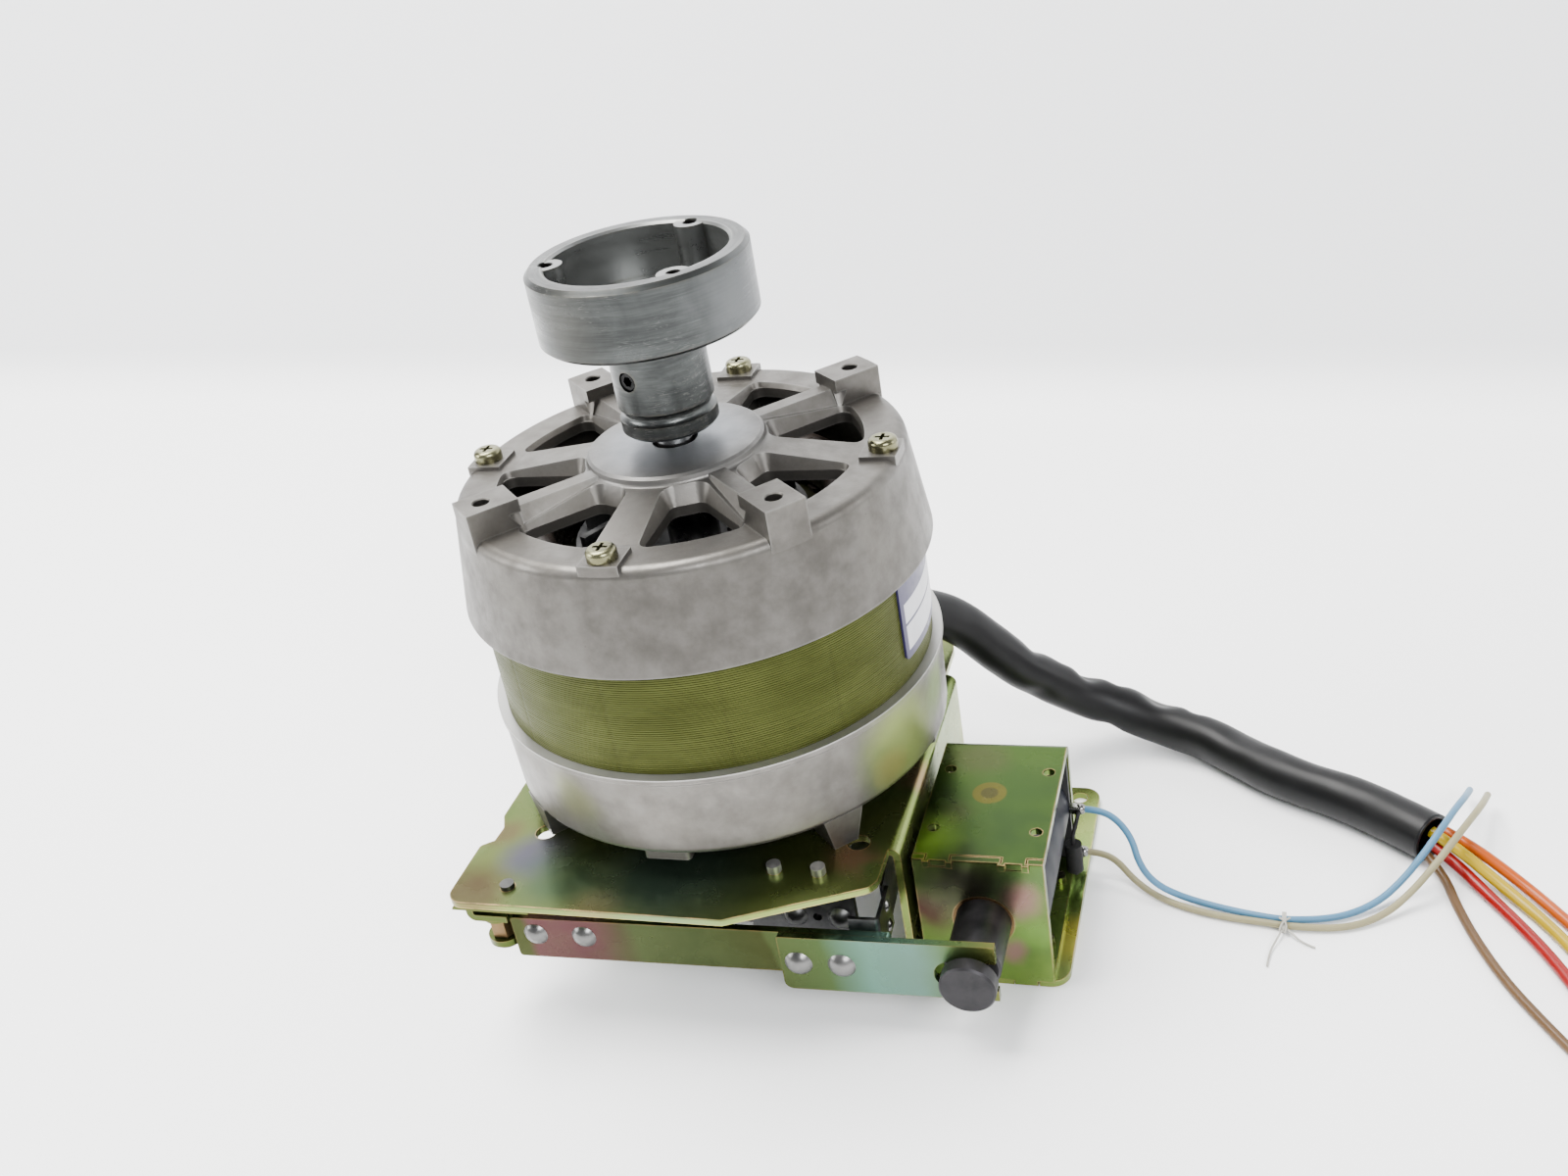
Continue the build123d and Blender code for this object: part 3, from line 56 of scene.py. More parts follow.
# ------------------------------------------------------------------ camera
cam_data = bpy.data.cameras.new("camera")
cam = bpy.data.objects.new("camera", cam_data)
bpy.context.collection.objects.link(cam)
cam_data.lens = 36.55
cam_data.sensor_width = 36.0
cam_data.sensor_fit = "HORIZONTAL"
cam_data.clip_start, cam_data.clip_end = 0.01, 10.0
right = Vector((0.9512, 0.2653, -0.1577)).normalized()
ahead = Vector((-0.3086, 0.8183, -0.4849)).normalized()
up = right.cross(ahead).normalized()
right = ahead.cross(up).normalized()
cam.rotation_mode = "QUATERNION"
cam.rotation_quaternion = Matrix((right, up, -ahead)).transposed().to_quaternion()
cam.location = Vector((121.72, -276.25, 126.51)) * MM
bpy.context.scene.camera = cam


# ------------------------------------------------------------------ nodes of a material
# brightness and saturation of each material's base colour
TONES = {
    "cast_aluminium": (0.305, 1.25), "cast_aluminium_smooth": (0.42, 1.2), "turned_hub": (0.205, 1.2),
    "turned_drum": (0.30, 1.0), "chromate_plate": (1.0, 1.05), "chromate_lever": (0.25, 1.2),
    "solenoid_case": (0.70, 1.05), "chromate_bracket": (0.30, 1.1), "yellow_zinc": (0.45, 1.2),
    "bright_steel": (0.50, 1.0), "rivet_zinc": (0.30, 1.0), "dull_rivet": (0.40, 1.0),
    "dark_steel": (0.90, 1.0), "phosphated_plunger": (0.26, 1.0), "oxide_screw": (0.50, 1.0),
    "bronze": (0.55, 1.1), "laminations": (0.27, 1.2), "varnished_windings": (0.40, 1.0),
    "cast_cage": (0.35, 1.0), "friction_lining": (0.40, 1.0), "label_print": (0.66, 1.3),
    "coil_tape": (0.30, 1.0), "bobbin_plastic": (0.50, 1.0), "grommet_rubber": (0.35, 1.0),
    "sleeve_pvc": (0.18, 1.0), "orange_pvc": (0.40, 1.2), "yellow_pvc": (0.36, 1.3),
    "red_pvc": (0.28, 1.15), "brown_pvc": (0.45, 1.1), "blue_pvc": (0.42, 1.2), "cream_pvc": (0.36, 1.9),
    "solder": (0.40, 1.0), "waxed_thread": (0.45, 1.0), "screw_steel": (0.80, 1.0),
}


class Mat:
    """A small helper that builds one procedural material."""

    def __init__(self, name):
        self.name = name
        self.m = bpy.data.materials.new(name)
        self.m.use_nodes = True
        self.t = self.m.node_tree
        self.t.nodes.clear()
        self.out = self.t.nodes.new("ShaderNodeOutputMaterial")
        self.b = self.t.nodes.new("ShaderNodeBsdfPrincipled")
        self.t.links.new(self.b.outputs[0], self.out.inputs[0])
        self._co = None

    def put(self, socket, value):
        """Link another node's output to an input, or give the input a plain value."""
        if isinstance(value, bpy.types.NodeSocket):
            self.t.links.new(value, socket)
        elif isinstance(value, (tuple, list)) and len(value) == 3 and socket.type == "RGBA":
            socket.default_value = (*value, 1.0)
        else:
            socket.default_value = value

    def set(self, **values):
        """Fill the shader's inputs by name, with _ for a space."""
        for k, v in values.items():
            if k == "Base_Color":
                v = self.toned(v)
            self.put(self.b.inputs[k.replace("_", " ")], v)
        return self

    def toned(self, col):
        """The colour at the brightness and saturation that suit the studio lights."""
        gain, saturation = TONES.get(self.name, (1.0, 1.0))
        n = self.node("ShaderNodeHueSaturation")
        n.inputs["Saturation"].default_value = saturation
        n.inputs["Value"].default_value = gain
        self.put(n.inputs["Color"], col)
        return n.outputs[0]

    def node(self, kind, **props):
        n = self.t.nodes.new(kind)
        for k, v in props.items():
            setattr(n, k, v)
        return n

    def co(self):
        """The place in the part's own frame, in metres."""
        if self._co is None:
            self._co = self.node("ShaderNodeTexCoord").outputs["Object"]
        return self._co

    def math(self, op, a, b=0.0, c=0.0, clamp=False):
        n = self.node("ShaderNodeMath", operation=op, use_clamp=clamp)
        for s, v in zip(n.inputs, (a, b, c)):
            self.put(s, v)
        return n.outputs[0]

    def xyz(self, vector=None):
        n = self.node("ShaderNodeSeparateXYZ")
        self.put(n.inputs[0], vector if vector is not None else self.co())
        return n.outputs

    def radius(self, x, y):
        """The distance from the Z axis."""
        return self.math("SQRT", self.math("ADD", self.math("MULTIPLY", x, x), self.math("MULTIPLY", y, y)))

    def vec(self, x, y, z):
        n = self.node("ShaderNodeCombineXYZ")
        for s, v in zip(n.inputs, (x, y, z)):
            self.put(s, v)
        return n.outputs[0]

    def scaled(self, x, y, z, vector=None):
        n = self.node("ShaderNodeMapping")
        self.put(n.inputs["Vector"], vector if vector is not None else self.co())
        n.inputs["Scale"].default_value = (x, y, z)
        return n.outputs[0]

    def noise(self, scale, detail=4.0, rough=0.55, vector=None, distortion=0.0, color=False):
        n = self.node("ShaderNodeTexNoise")
        self.put(n.inputs["Vector"], vector if vector is not None else self.co())
        n.inputs["Scale"].default_value = scale
        n.inputs["Detail"].default_value = detail
        n.inputs["Roughness"].default_value = rough
        n.inputs["Distortion"].default_value = distortion
        return n.outputs["Color" if color else "Fac"]

    def cells(self, scale, feature="F1", vector=None):
        n = self.node("ShaderNodeTexVoronoi", feature=feature)
        self.put(n.inputs["Vector"], vector if vector is not None else self.co())
        n.inputs["Scale"].default_value = scale
        return n.outputs["Distance"]

    def ramp(self, fac, stops, smooth=False):
        """A colour by value, from stops of value and colour."""
        n = self.node("ShaderNodeValToRGB")
        r = n.color_ramp
        r.interpolation = "B_SPLINE" if smooth else "LINEAR"
        while len(r.elements) > 1:
            r.elements.remove(r.elements[-1])
        first = True
        for pos, col in stops:
            e = r.elements[0] if first else r.elements.new(pos)
            e.position = pos
            e.color = (*col, 1.0) if len(col) == 3 else col
            first = False
        self.put(n.inputs[0], fac)
        return n.outputs[0]

    def range(self, v, a, b, c=0.0, d=1.0):
        """The value v moved from the range a to b into the range c to d, and held there."""
        n = self.node("ShaderNodeMapRange")
        n.clamp = True
        for s, x in zip(n.inputs[:5], (v, a, b, c, d)):
            self.put(s, x)
        return n.outputs[0]

    def mix(self, fac, a, b, blend="MIX"):
        n = self.node("ShaderNodeMix", data_type="RGBA", blend_type=blend)
        self.put(n.inputs[0], fac)
        self.put(n.inputs[6], a)
        self.put(n.inputs[7], b)
        return n.outputs[2]

    def bump(self, height, distance, strength=1.0, normal=None):
        n = self.node("ShaderNodeBump")
        n.inputs["Strength"].default_value = strength
        n.inputs["Distance"].default_value = distance
        self.put(n.inputs["Height"], height)
        if normal is not None:
            self.put(n.inputs["Normal"], normal)
        return n.outputs[0]

    def facing(self, blend=0.4):
        n = self.node("ShaderNodeLayerWeight")
        n.inputs["Blend"].default_value = blend
        return n.outputs["Facing"]

    def edges(self, radius):
        """1 near a convex edge, 0 elsewhere, from the bevelled normal."""
        bev = self.node("ShaderNodeBevel", samples=4)
        bev.inputs["Radius"].default_value = radius
        geo = self.node("ShaderNodeNewGeometry")
        dot = self.node("ShaderNodeVectorMath", operation="DOT_PRODUCT")
        self.put(dot.inputs[0], bev.outputs[0])
        self.put(dot.inputs[1], geo.outputs["Normal"])
        return self.range(dot.outputs["Value"], 0.995, 0.8)

    def done(self):
        return self.m


def brighter(color, factor):
    """The colour times a factor."""
    return tuple(min(1, c * factor) for c in color)


def blend_stains_and_painted_light(m, col, stains_and_painted_light, warp=7.0):
    """Blend soft coloured patches into a colour, each moved a little by noise. Patches can be real stains,
    and also painted light, shade and reflections.

    A patch is x, y, z and radius in millimetres, a colour and an amount.
    """
    cloud = m.noise(70, 3, 0.55, color=True)
    off = m.node("ShaderNodeVectorMath", operation="MULTIPLY_ADD")
    m.put(off.inputs[0], cloud)
    off.inputs[1].default_value = (warp * 2 * MM,) * 3
    m.put(off.inputs[2], m.co())
    for x, y, z, radius, colour, amount in stains_and_painted_light:
        d = m.node("ShaderNodeVectorMath", operation="DISTANCE")
        m.put(d.inputs[0], off.outputs[0])
        d.inputs[1].default_value = ((x + warp) * MM, (y + warp) * MM, (z + warp) * MM)
        near = m.node("ShaderNodeMapRange", interpolation_type="SMOOTHSTEP")
        limits = (d.outputs["Value"], radius * 1.25 * MM, radius * 0.25 * MM, 0.0, amount)
        for socket, v in zip(near.inputs[:5], limits):
            m.put(socket, v)
        col = m.mix(near.outputs[0], col, colour)
    return col


def paint_shade_in_holes(m, col, places):
    """Paint shade inside upright holes by darkening them, each x, y and radius in millimetres."""
    flat = m.node("ShaderNodeVectorMath", operation="MULTIPLY")
    m.put(flat.inputs[0], m.co())
    flat.inputs[1].default_value = (1.0, 1.0, 0.0)
    for x, y, radius in places:
        d = m.node("ShaderNodeVectorMath", operation="DISTANCE")
        m.put(d.inputs[0], flat.outputs[0])
        d.inputs[1].default_value = (x * MM, y * MM, 0.0)
        # painted shade: inside each hole the colour is painted near black
        inside = m.range(d.outputs["Value"], (radius + 0.12) * MM, (radius - 0.12) * MM)
        col = m.mix(inside, col, (0.035, 0.033, 0.030))
    return col


def cast_aluminium(name, rough=(0.50, 0.36), grain=1.0, holes=(), stains_and_painted_light=(), specks=1.0, highlight_level=1.0):
    """Mottled casting. Specks is their strength; above the highlight's level, in millimetres, a painted
    highlight makes it brighter.
    """
    m = Mat(name)
    big = m.noise(30, 4, 0.6, distortion=0.6)
    mid = m.noise(190, 4, 0.6)
    fine = m.noise(1700, 3, 0.6)
    fac = m.math("ADD", m.math("MULTIPLY", big, 0.45), m.math("MULTIPLY", mid, 0.55))
    tints = [(0.34, (0.25, 0.236, 0.216)), (0.5, (0.36, 0.343, 0.318)), (0.66, (0.46, 0.442, 0.415))]
    col = m.ramp(fac, tints, True)
    warm = m.range(m.noise(22, 3), 0.48, 0.68, 0.0, 0.5)
    col = m.mix(warm, col, (0.40, 0.375, 0.33))
    spots = m.cells(260)
    places = m.range(m.noise(60, 2), 0.48, 0.60, 0.0, specks)
    speck = m.math("MULTIPLY", m.range(spots, 0.07, 0.02), places)
    col = m.mix(m.math("MULTIPLY", speck, 0.5), col, (0.14, 0.125, 0.10))
    col = blend_stains_and_painted_light(m, col, stains_and_painted_light, 3.0)
    # painted highlight: all above the given level, the top of the rim, is painted near white
    col = m.mix(m.range(m.xyz()[2], (highlight_level - 0.35) * MM, (highlight_level - 0.1) * MM), col, (1.0, 0.99, 0.96))
    edge = m.edges(0.7 * MM)
    col = m.mix(m.math("MULTIPLY", edge, 0.6), col, (0.72, 0.71, 0.68))
    # painted shade inside the listed holes
    col = paint_shade_in_holes(m, col, holes)
    n = m.bump(fine, 0.04 * MM, 0.6 * grain)
    n = m.bump(mid, 0.07 * MM, 0.5 * grain, n)
    n = m.bump(m.math("MULTIPLY", speck, -1.0), 0.04 * MM, 0.5, n)
    return m.set(Base_Color=col, Metallic=0.88, Roughness=m.range(mid, 0.3, 0.7, *rough), Normal=n).done()


def turned_metal(name, tint=(0.285, 0.30, 0.295), dark=(0.165, 0.175, 0.172), rough=(0.24, 0.40),
                 holes=(), lit_bore=(0.0, 0.0), stains_and_painted_light=()):
    """Turned metal with tool lines that run round the Z axis of the part.

    The bore argument is the radius and the lowest level, in millimetres, of an inside painted with light,
    brighter than the rest.
    """
    m = Mat(name)
    x, y, z = m.xyz()
    ang = m.math("ARCTAN2", y, x)
    rad = m.radius(x, y)

    def around(by_angle, by_radius, by_level):
        """A place that is stretched round the axis."""
        parts = ((ang, by_angle), (rad, by_radius), (z, by_level))
        return m.vec(*(m.math("MULTIPLY", value, factor) for value, factor in parts))

    lines = m.noise(1.0, 6, 0.72, vector=around(1.4, 1900.0, 1900.0))
    broad = m.noise(1.0, 3, 0.6, vector=around(1.1, 260.0, 420.0))
    cloud = m.noise(85, 4, 0.62, distortion=0.8)
    fac = m.math("ADD", m.math("MULTIPLY", cloud, 0.35), m.math("MULTIPLY", lines, 0.35))
    fac = m.math("ADD", fac, m.math("MULTIPLY", broad, 0.30))
    col = m.ramp(fac, [(0.36, dark), (0.50, tint), (0.64, brighter(tint, 1.5))], True)
    scr = m.noise(1.0, 2, 0.5, vector=m.scaled(240, 700, 1900), distortion=1.8)
    scratch = m.math("MULTIPLY", m.range(scr, 0.59, 0.66), m.range(m.noise(45, 2), 0.42, 0.56))
    col = m.mix(m.math("MULTIPLY", scratch, 0.7), col, (0.62, 0.62, 0.60))
    # painted light: the inside of the bore, above its lowest level, is painted bright
    above = m.range(z, (lit_bore[1] - 0.2) * MM, lit_bore[1] * MM)
    inside = m.range(rad, (lit_bore[0] + 0.2) * MM, (lit_bore[0] - 0.2) * MM, 0.0, above)
    col = m.mix(inside, col, (0.95, 0.97, 0.95))
    col = blend_stains_and_painted_light(m, col, stains_and_painted_light)
    worn = m.edges(1.1 * MM)
    ragged = m.math("MULTIPLY", worn, m.range(m.noise(320, 3), 0.35, 0.6))
    col = m.mix(m.math("MULTIPLY", ragged, 0.75), col, (0.56, 0.52, 0.43))
    # painted shade inside the listed holes
    col = paint_shade_in_holes(m, col, holes)
    r = m.range(fac, 0.38, 0.62, rough[1], rough[0])
    n = m.bump(lines, 0.014 * MM, 0.6)
    n = m.bump(scratch, 0.02 * MM, 0.5, n)
    return m.set(Base_Color=col, Metallic=0.95, Roughness=r, Normal=n).done()


# colours of the chromate film
GREEN = (0.15, 0.24, 0.06)
DEEP = (0.065, 0.12, 0.05)
OLIVE = (0.24, 0.27, 0.08)
PINK = (0.40, 0.19, 0.20)
GOLD = (0.44, 0.40, 0.12)


def chromate(name, stops, stains_and_painted_light=(), scale=1.0, seed=0.0, bar=None, tilt=0.18, top=None):
    """Iridescent yellow chromate, whose film changes colour from place to place.

    Stops are the film's colours. They follow noise and the viewing angle, or X between the two ends of bar,
    in millimetres. Top is a level in millimetres and a tint that darkens all that lies above it, a painted
    shade.
    """
    m = Mat(name)
    x, y, z = m.xyz()
    place = m.vec(
        m.math("ADD", x, 0.031 + seed), m.math("ADD", y, 0.017 - seed), m.math("ADD", z, 0.23 * seed))
    big = m.noise(20 * scale, 3, 0.5, vector=place, distortion=0.7)
    mid = m.noise(80 * scale, 4, 0.55, vector=place)
    fine = m.noise(900, 3, 0.6)
    if bar is None:
        f = m.math("ADD", m.math("MULTIPLY", big, 0.75), m.math("MULTIPLY", mid, 0.25))
        f = m.math("ADD", f, m.math("MULTIPLY", m.facing(0.35), tilt))
    else:
        f = m.math("DIVIDE", m.math("SUBTRACT", x, bar[0] * MM), (bar[1] - bar[0]) * MM)
        f = m.math("ADD", f, m.math("MULTIPLY", m.math("SUBTRACT", big, 0.5), 0.10))
        middle = -94.0 * MM
        f = m.math("ADD", f, m.math("MULTIPLY", m.math("SUBTRACT", z, middle), 1.6))
    col = m.ramp(f, stops, bar is None)
    col = blend_stains_and_painted_light(m, col, stains_and_painted_light, 4.0)
    col = m.mix(m.range(mid, 0.42, 0.72, 0.0, 0.22), col, (0.30, 0.36, 0.16))
    if top is not None:
        # painted shade: all above the top level is darkened by the tint
        level, tint = top
        col = m.mix(m.range(z, (level - 0.5) * MM, (level - 0.3) * MM), col, tint, "MULTIPLY")
    worn = m.range(m.noise(240, 2), 0.35, 0.65, 0.15, 0.65)
    edge = m.math("MULTIPLY", m.edges(0.5 * MM), worn)
    col = m.mix(edge, col, (0.85, 0.55, 0.28))
    grain = m.noise(1.0, 3, 0.5, vector=m.scaled(160, 1500, 1500))
    n = m.bump(fine, 0.012 * MM, 0.35)
    n = m.bump(grain, 0.008 * MM, 0.3, n)
    n = m.bump(m.noise(28, 2), 0.20 * MM, 0.12, n)
    rough = m.range(mid, 0.3, 0.7, 0.20, 0.32)
    return m.set(Base_Color=col, Metallic=0.90, Roughness=rough, Normal=n).done()


def steel(name, base, dark, rough=(0.18, 0.36), metallic=1.0, scale=1.0):
    """Plain metal, a little uneven, with brighter edges."""
    m = Mat(name)
    a = m.noise(180 * scale, 4, 0.6, distortion=0.5)
    b = m.noise(1200 * scale, 3, 0.6)
    col = m.ramp(a, [(0.3, dark), (0.55, base), (0.75, brighter(base, 1.2))], True)
    edge = m.edges(0.3 * MM)
    col = m.mix(m.math("MULTIPLY", edge, 0.4), col, brighter(base, 1.5))
    n = m.bump(b, 0.01 * MM, 0.5)
    n = m.bump(a, 0.02 * MM, 0.4, n)
    rough = m.range(a, 0.3, 0.7, *rough)
    return m.set(Base_Color=col, Metallic=metallic, Roughness=rough, Normal=n).done()


def plastic(name, color, rough=0.4, var=0.15, bump=0.02, scale=1.0, sub=0.0, shine=0.3):
    """Plastic, rubber or cloth. Sub is how much light goes through, and shine is its gloss."""
    m = Mat(name)
    a = m.noise(120 * scale, 3, 0.5)
    b = m.noise(1400 * scale, 3, 0.6)
    col = m.ramp(a, [(0.3, brighter(color, 1 - var)), (0.7, brighter(color, 1 + var))], True)
    n = m.bump(b, bump * MM, 0.5)
    r = m.range(m.noise(60 * scale, 2), 0.3, 0.7, rough * 0.85, min(1.0, rough * 1.2))
    m.set(Base_Color=col, Roughness=r, Normal=n, Specular_IOR_Level=shine)
    if sub:
        m.set(Subsurface_Weight=sub, Subsurface_Radius=(0.002, 0.001, 0.0006), Subsurface_Scale=1.0)
    return m.done()


def laminations():
    """Varnished sheet steel, darker in the gaps between the sheets."""
    m = Mat("laminations")
    x, y, z = m.xyz()
    ang = m.math("ARCTAN2", y, x)
    per = m.noise(1.0, 2, 0.5, vector=m.vec(0.0, 0.0, m.math("MULTIPLY", z, 2000.0)))
    place = m.vec(m.math("MULTIPLY", ang, 3.0), 0.0, m.math("MULTIPLY", z, 120.0))
    cloud = m.noise(1.0, 4, 0.6, vector=place)
    rad = m.radius(x, y)
    fac = m.math("ADD", m.math("MULTIPLY", per, 0.45), m.math("MULTIPLY", cloud, 0.55))
    greens = [(0.3, (0.148, 0.165, 0.052)), (0.5, (0.214, 0.238, 0.082)), (0.7, (0.298, 0.33, 0.122))]
    col = m.ramp(fac, greens, True)
    gap = m.range(rad, STACK_RADIUS - 0.06 * MM, STACK_RADIUS - 0.13 * MM)
    col = m.mix(gap, col, (0.035, 0.034, 0.012))
    n = m.bump(m.noise(700, 3), 0.02 * MM, 0.4)
    rough = m.range(cloud, 0.3, 0.7, 0.50, 0.40)
    return m.set(Base_Color=col, Metallic=0.45, Roughness=rough, Normal=n, Specular_IOR_Level=0.12).done()


def dark_windings():
    """Brown varnished wire."""
    m = Mat("varnished_windings")
    a = m.noise(90, 4, 0.6)
    b = m.noise(900, 3, 0.6)
    browns = [(0.3, (0.016, 0.013, 0.012)), (0.6, (0.040, 0.030, 0.024)), (0.8, (0.08, 0.045, 0.028))]
    col = m.ramp(a, browns, True)
    rough = m.range(b, 0.3, 0.7, 0.25, 0.5)
    n = m.bump(b, 0.03 * MM, 0.6)
    return m.set(Base_Color=col, Roughness=rough, Normal=n, Specular_IOR_Level=0.3).done()


def label_paint():
    """Purple border and title bar with plain white fields."""
    m = Mat("label_print")
    x, y, z = m.xyz()
    label_radius = 47.6
    arc = m.math("MULTIPLY", m.math("ARCTAN2", y, x), label_radius)  # millimetres round the stator
    high = m.math("MULTIPLY", z, 1000.0)
    first = math.radians(-15.5) * label_radius
    last = math.radians(26.0) * label_radius

    def band(v, lo, hi, soft=0.06):
        return m.math("MULTIPLY", m.range(v, lo - soft, lo + soft), m.range(v, hi + soft, hi - soft))

    fields = 0.0
    for lo, hi in ((-39.0, -34.6), (-45.2, -39.6)):
        field = m.math("MULTIPLY", band(high, lo, hi), band(arc, first + 1.5, last - 1.5))
        fields = m.math("MAXIMUM", fields, field)
    grain = m.noise(500, 3)
    purple = m.ramp(grain, [(0.3, (0.034, 0.029, 0.080)), (0.7, (0.046, 0.040, 0.100))], True)
    white = m.ramp(m.noise(160, 3), [(0.3, (0.66, 0.66, 0.69)), (0.7, (0.78, 0.78, 0.81))], True)
    col = m.mix(fields, purple, white)
    rough = m.range(grain, 0.3, 0.7, 0.3, 0.42)
    n = m.bump(grain, 0.01 * MM, 0.4)
    return m.set(Base_Color=col, Metallic=0.15, Roughness=rough, Normal=n).done()


MARK_CENTRE = (59.3, -11.9, -80.4)


def paint_ring(material):
    """Add the yellow-brown inspection mark on the solenoid's top to a finished material."""
    t = material.node_tree
    b = next(n for n in t.nodes if n.type == "BSDF_PRINCIPLED")
    src = b.inputs["Base Color"].links[0].from_socket
    geo = t.nodes.new("ShaderNodeTexCoord")
    d = t.nodes.new("ShaderNodeVectorMath")
    d.operation = "DISTANCE"
    t.links.new(geo.outputs["Object"], d.inputs[0])
    d.inputs[1].default_value = [c * MM for c in MARK_CENTRE]
    ring = t.nodes.new("ShaderNodeValToRGB")
    scale = t.nodes.new("ShaderNodeMath")
    scale.operation = "MULTIPLY"
    scale.inputs[1].default_value = 100.0
    t.links.new(d.outputs["Value"], scale.inputs[0])
    t.links.new(scale.outputs[0], ring.inputs[0])
    disc_color, ring_color, edge_color = (0.040, 0.036, 0.006), (0.070, 0.060, 0.005), (0.062, 0.055, 0.005)
    r = ring.color_ramp
    r.elements[0].position, r.elements[0].color = 0.0, (*disc_color, 0.95)
    r.elements[1].position, r.elements[1].color = 0.38, (*edge_color, 0.0)
    outer_color = (0.070, 0.062, 0.005)
    stops = ((0.17, (*disc_color, 0.95)), (0.20, (*ring_color, 0.92)), (0.345, (*outer_color, 0.90)))
    for place, color in stops:
        r.elements.new(place).color = color
    mix = t.nodes.new("ShaderNodeMix")
    mix.data_type = "RGBA"
    t.links.new(ring.outputs["Alpha"], mix.inputs[0])
    t.links.new(src, mix.inputs[6])
    t.links.new(ring.outputs["Color"], mix.inputs[7])
    t.links.new(mix.outputs[2], b.inputs["Base Color"])
    return material


def coil_tape():
    """Dark cloth tape wound round the coil."""
    m = Mat("coil_tape")
    weave = m.noise(1.0, 2, 0.5, vector=m.scaled(900, 250, 900))
    wrap = m.node("ShaderNodeTexWave", wave_type="BANDS", bands_direction="Y")
    m.put(wrap.inputs["Vector"], m.co())
    wrap.inputs["Scale"].default_value = 42.0
    wrap.inputs["Distortion"].default_value = 1.5
    wrap.inputs["Detail"].default_value = 2.0
    col = m.ramp(m.noise(150, 4), [(0.3, (0.010, 0.012, 0.024)), (0.7, (0.022, 0.027, 0.052))], True)
    n = m.bump(weave, 0.03 * MM, 0.5)
    n = m.bump(wrap.outputs["Fac"], 0.18 * MM, 0.5, n)
    return m.set(Base_Color=col, Roughness=0.48, Normal=n, Specular_IOR_Level=0.25).done()


def floor_surface():
    """A pale sheet, a little darker where it rises behind the table."""
    m = Mat("table_surface")
    z = m.xyz()[2]
    low = m.ramp(m.noise(3.0, 3), [(0.3, (0.905, 0.907, 0.910)), (0.7, (0.925, 0.927, 0.930))], True)
    col = m.mix(m.range(z, floor_z + 0.001, floor_z + 0.02), low, (0.700, 0.706, 0.718))
    n = m.bump(m.noise(600, 3), 0.01 * MM, 0.2)
    return m.set(Base_Color=col, Roughness=0.6, Normal=n).done()


floor_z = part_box("base_plate")[0][2] - 0.05 * MM
STACK_LOW, STACK_HIGH = (Vector(c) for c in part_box("stator_core"))
STACK_RADIUS = STACK_HIGH.x

PLATE_FILM = [
    (0.30, DEEP), (0.42, GREEN), (0.52, OLIVE), (0.60, GREEN), (0.70, GOLD), (0.80, PINK), (0.95, OLIVE),
]
SOLENOID_FILM = [(0.30, DEEP), (0.42, GREEN), (0.56, (0.19, 0.31, 0.06)), (0.70, OLIVE), (0.85, GOLD)]
LEVER_FILM = [
    (0.00, (0.13, 0.15, 0.05)), (0.035, (0.13, 0.15, 0.05)), (0.055, (0.28, 0.13, 0.14)),
    (0.20, (0.24, 0.12, 0.12)), (0.25, (0.15, 0.13, 0.07)), (0.28, (0.15, 0.19, 0.08)),
    (0.42, (0.11, 0.145, 0.055)), (0.565, (0.10, 0.115, 0.035)), (0.575, (0.16, 0.21, 0.08)),
    (0.67, (0.21, 0.31, 0.13)), (0.76, (0.42, 0.74, 0.60)), (0.86, (0.44, 0.72, 0.62)),
    (0.93, (0.34, 0.52, 0.24)), (1.00, (0.40, 0.44, 0.16)),
]
# patches of colour on the disc, the castings, the hub, the plate and the solenoid: x, y, z and radius in
# millimetres, then the colour and how strong it is. On the disc, the lower casting and the hub they are
# painted light, shade and reflections; on the plate and the solenoid they are the film's own colours
# painted light: the disc's top is brightened
DISC_PAINTED_LIGHT = [(0, 0, -2, 18, (0.90, 0.94, 1.0), 1.0)]
# painted reflections of the green solenoid on the lower casting
LOWER_BELL_PAINTED_REFLECTIONS = [
    (44.5, -19.5, -62, 13, (0.85, 1.0, 0.42), 0.9), (42.5, -23.5, -65.5, 5, (1.0, 0.88, 0.40), 0.6),
    (48.6, -3.8, -58.9, 7, (0.60, 0.80, 0.34), 0.7), (-18.6, -45.1, -60.1, 7, (0.42, 0.45, 0.24), 0.6),
]
# a painted reflection, bright, on the hub's right and painted shade on its front left
HUB_PAINTED_LIGHT_AND_SHADE = [(21, -5, 31, 13, (0.58, 0.60, 0.61), 0.85), (-9, -21, 31, 10, (0.24, 0.235, 0.21), 0.6)]
PLATE_STAINS = [
    (-33, -42.5, -78, 9, (0.12, 0.10, 0.20), 0.8), (-42, -55, -78, 9, (0.12, 0.06, 0.03), 0.85),
    (-24, -49, -78, 12, (0.07, 0.13, 0.07), 0.8), (-13, -57, -78, 7, (0.22, 0.17, 0.07), 0.8),
    (36, -37, -78, 7, (0.40, 0.20, 0.12), 0.85), (41, -41, -78, 4, GREEN, 0.8),
    (0, -44, -78, 20, (0.13, 0.22, 0.17), 0.85), (-45, -24, -78, 9, GREEN, 0.7),
    (-44, -36, -78, 5, (0.20, 0.12, 0.06), 0.7), (43.5, -10, -78, 6, (0.36, 0.20, 0.13), 0.7),
    (74, -20, -111.7, 8, (0.44, 0.38, 0.05), 0.8), (74, -10, -111.7, 6, GREEN, 0.7),
]
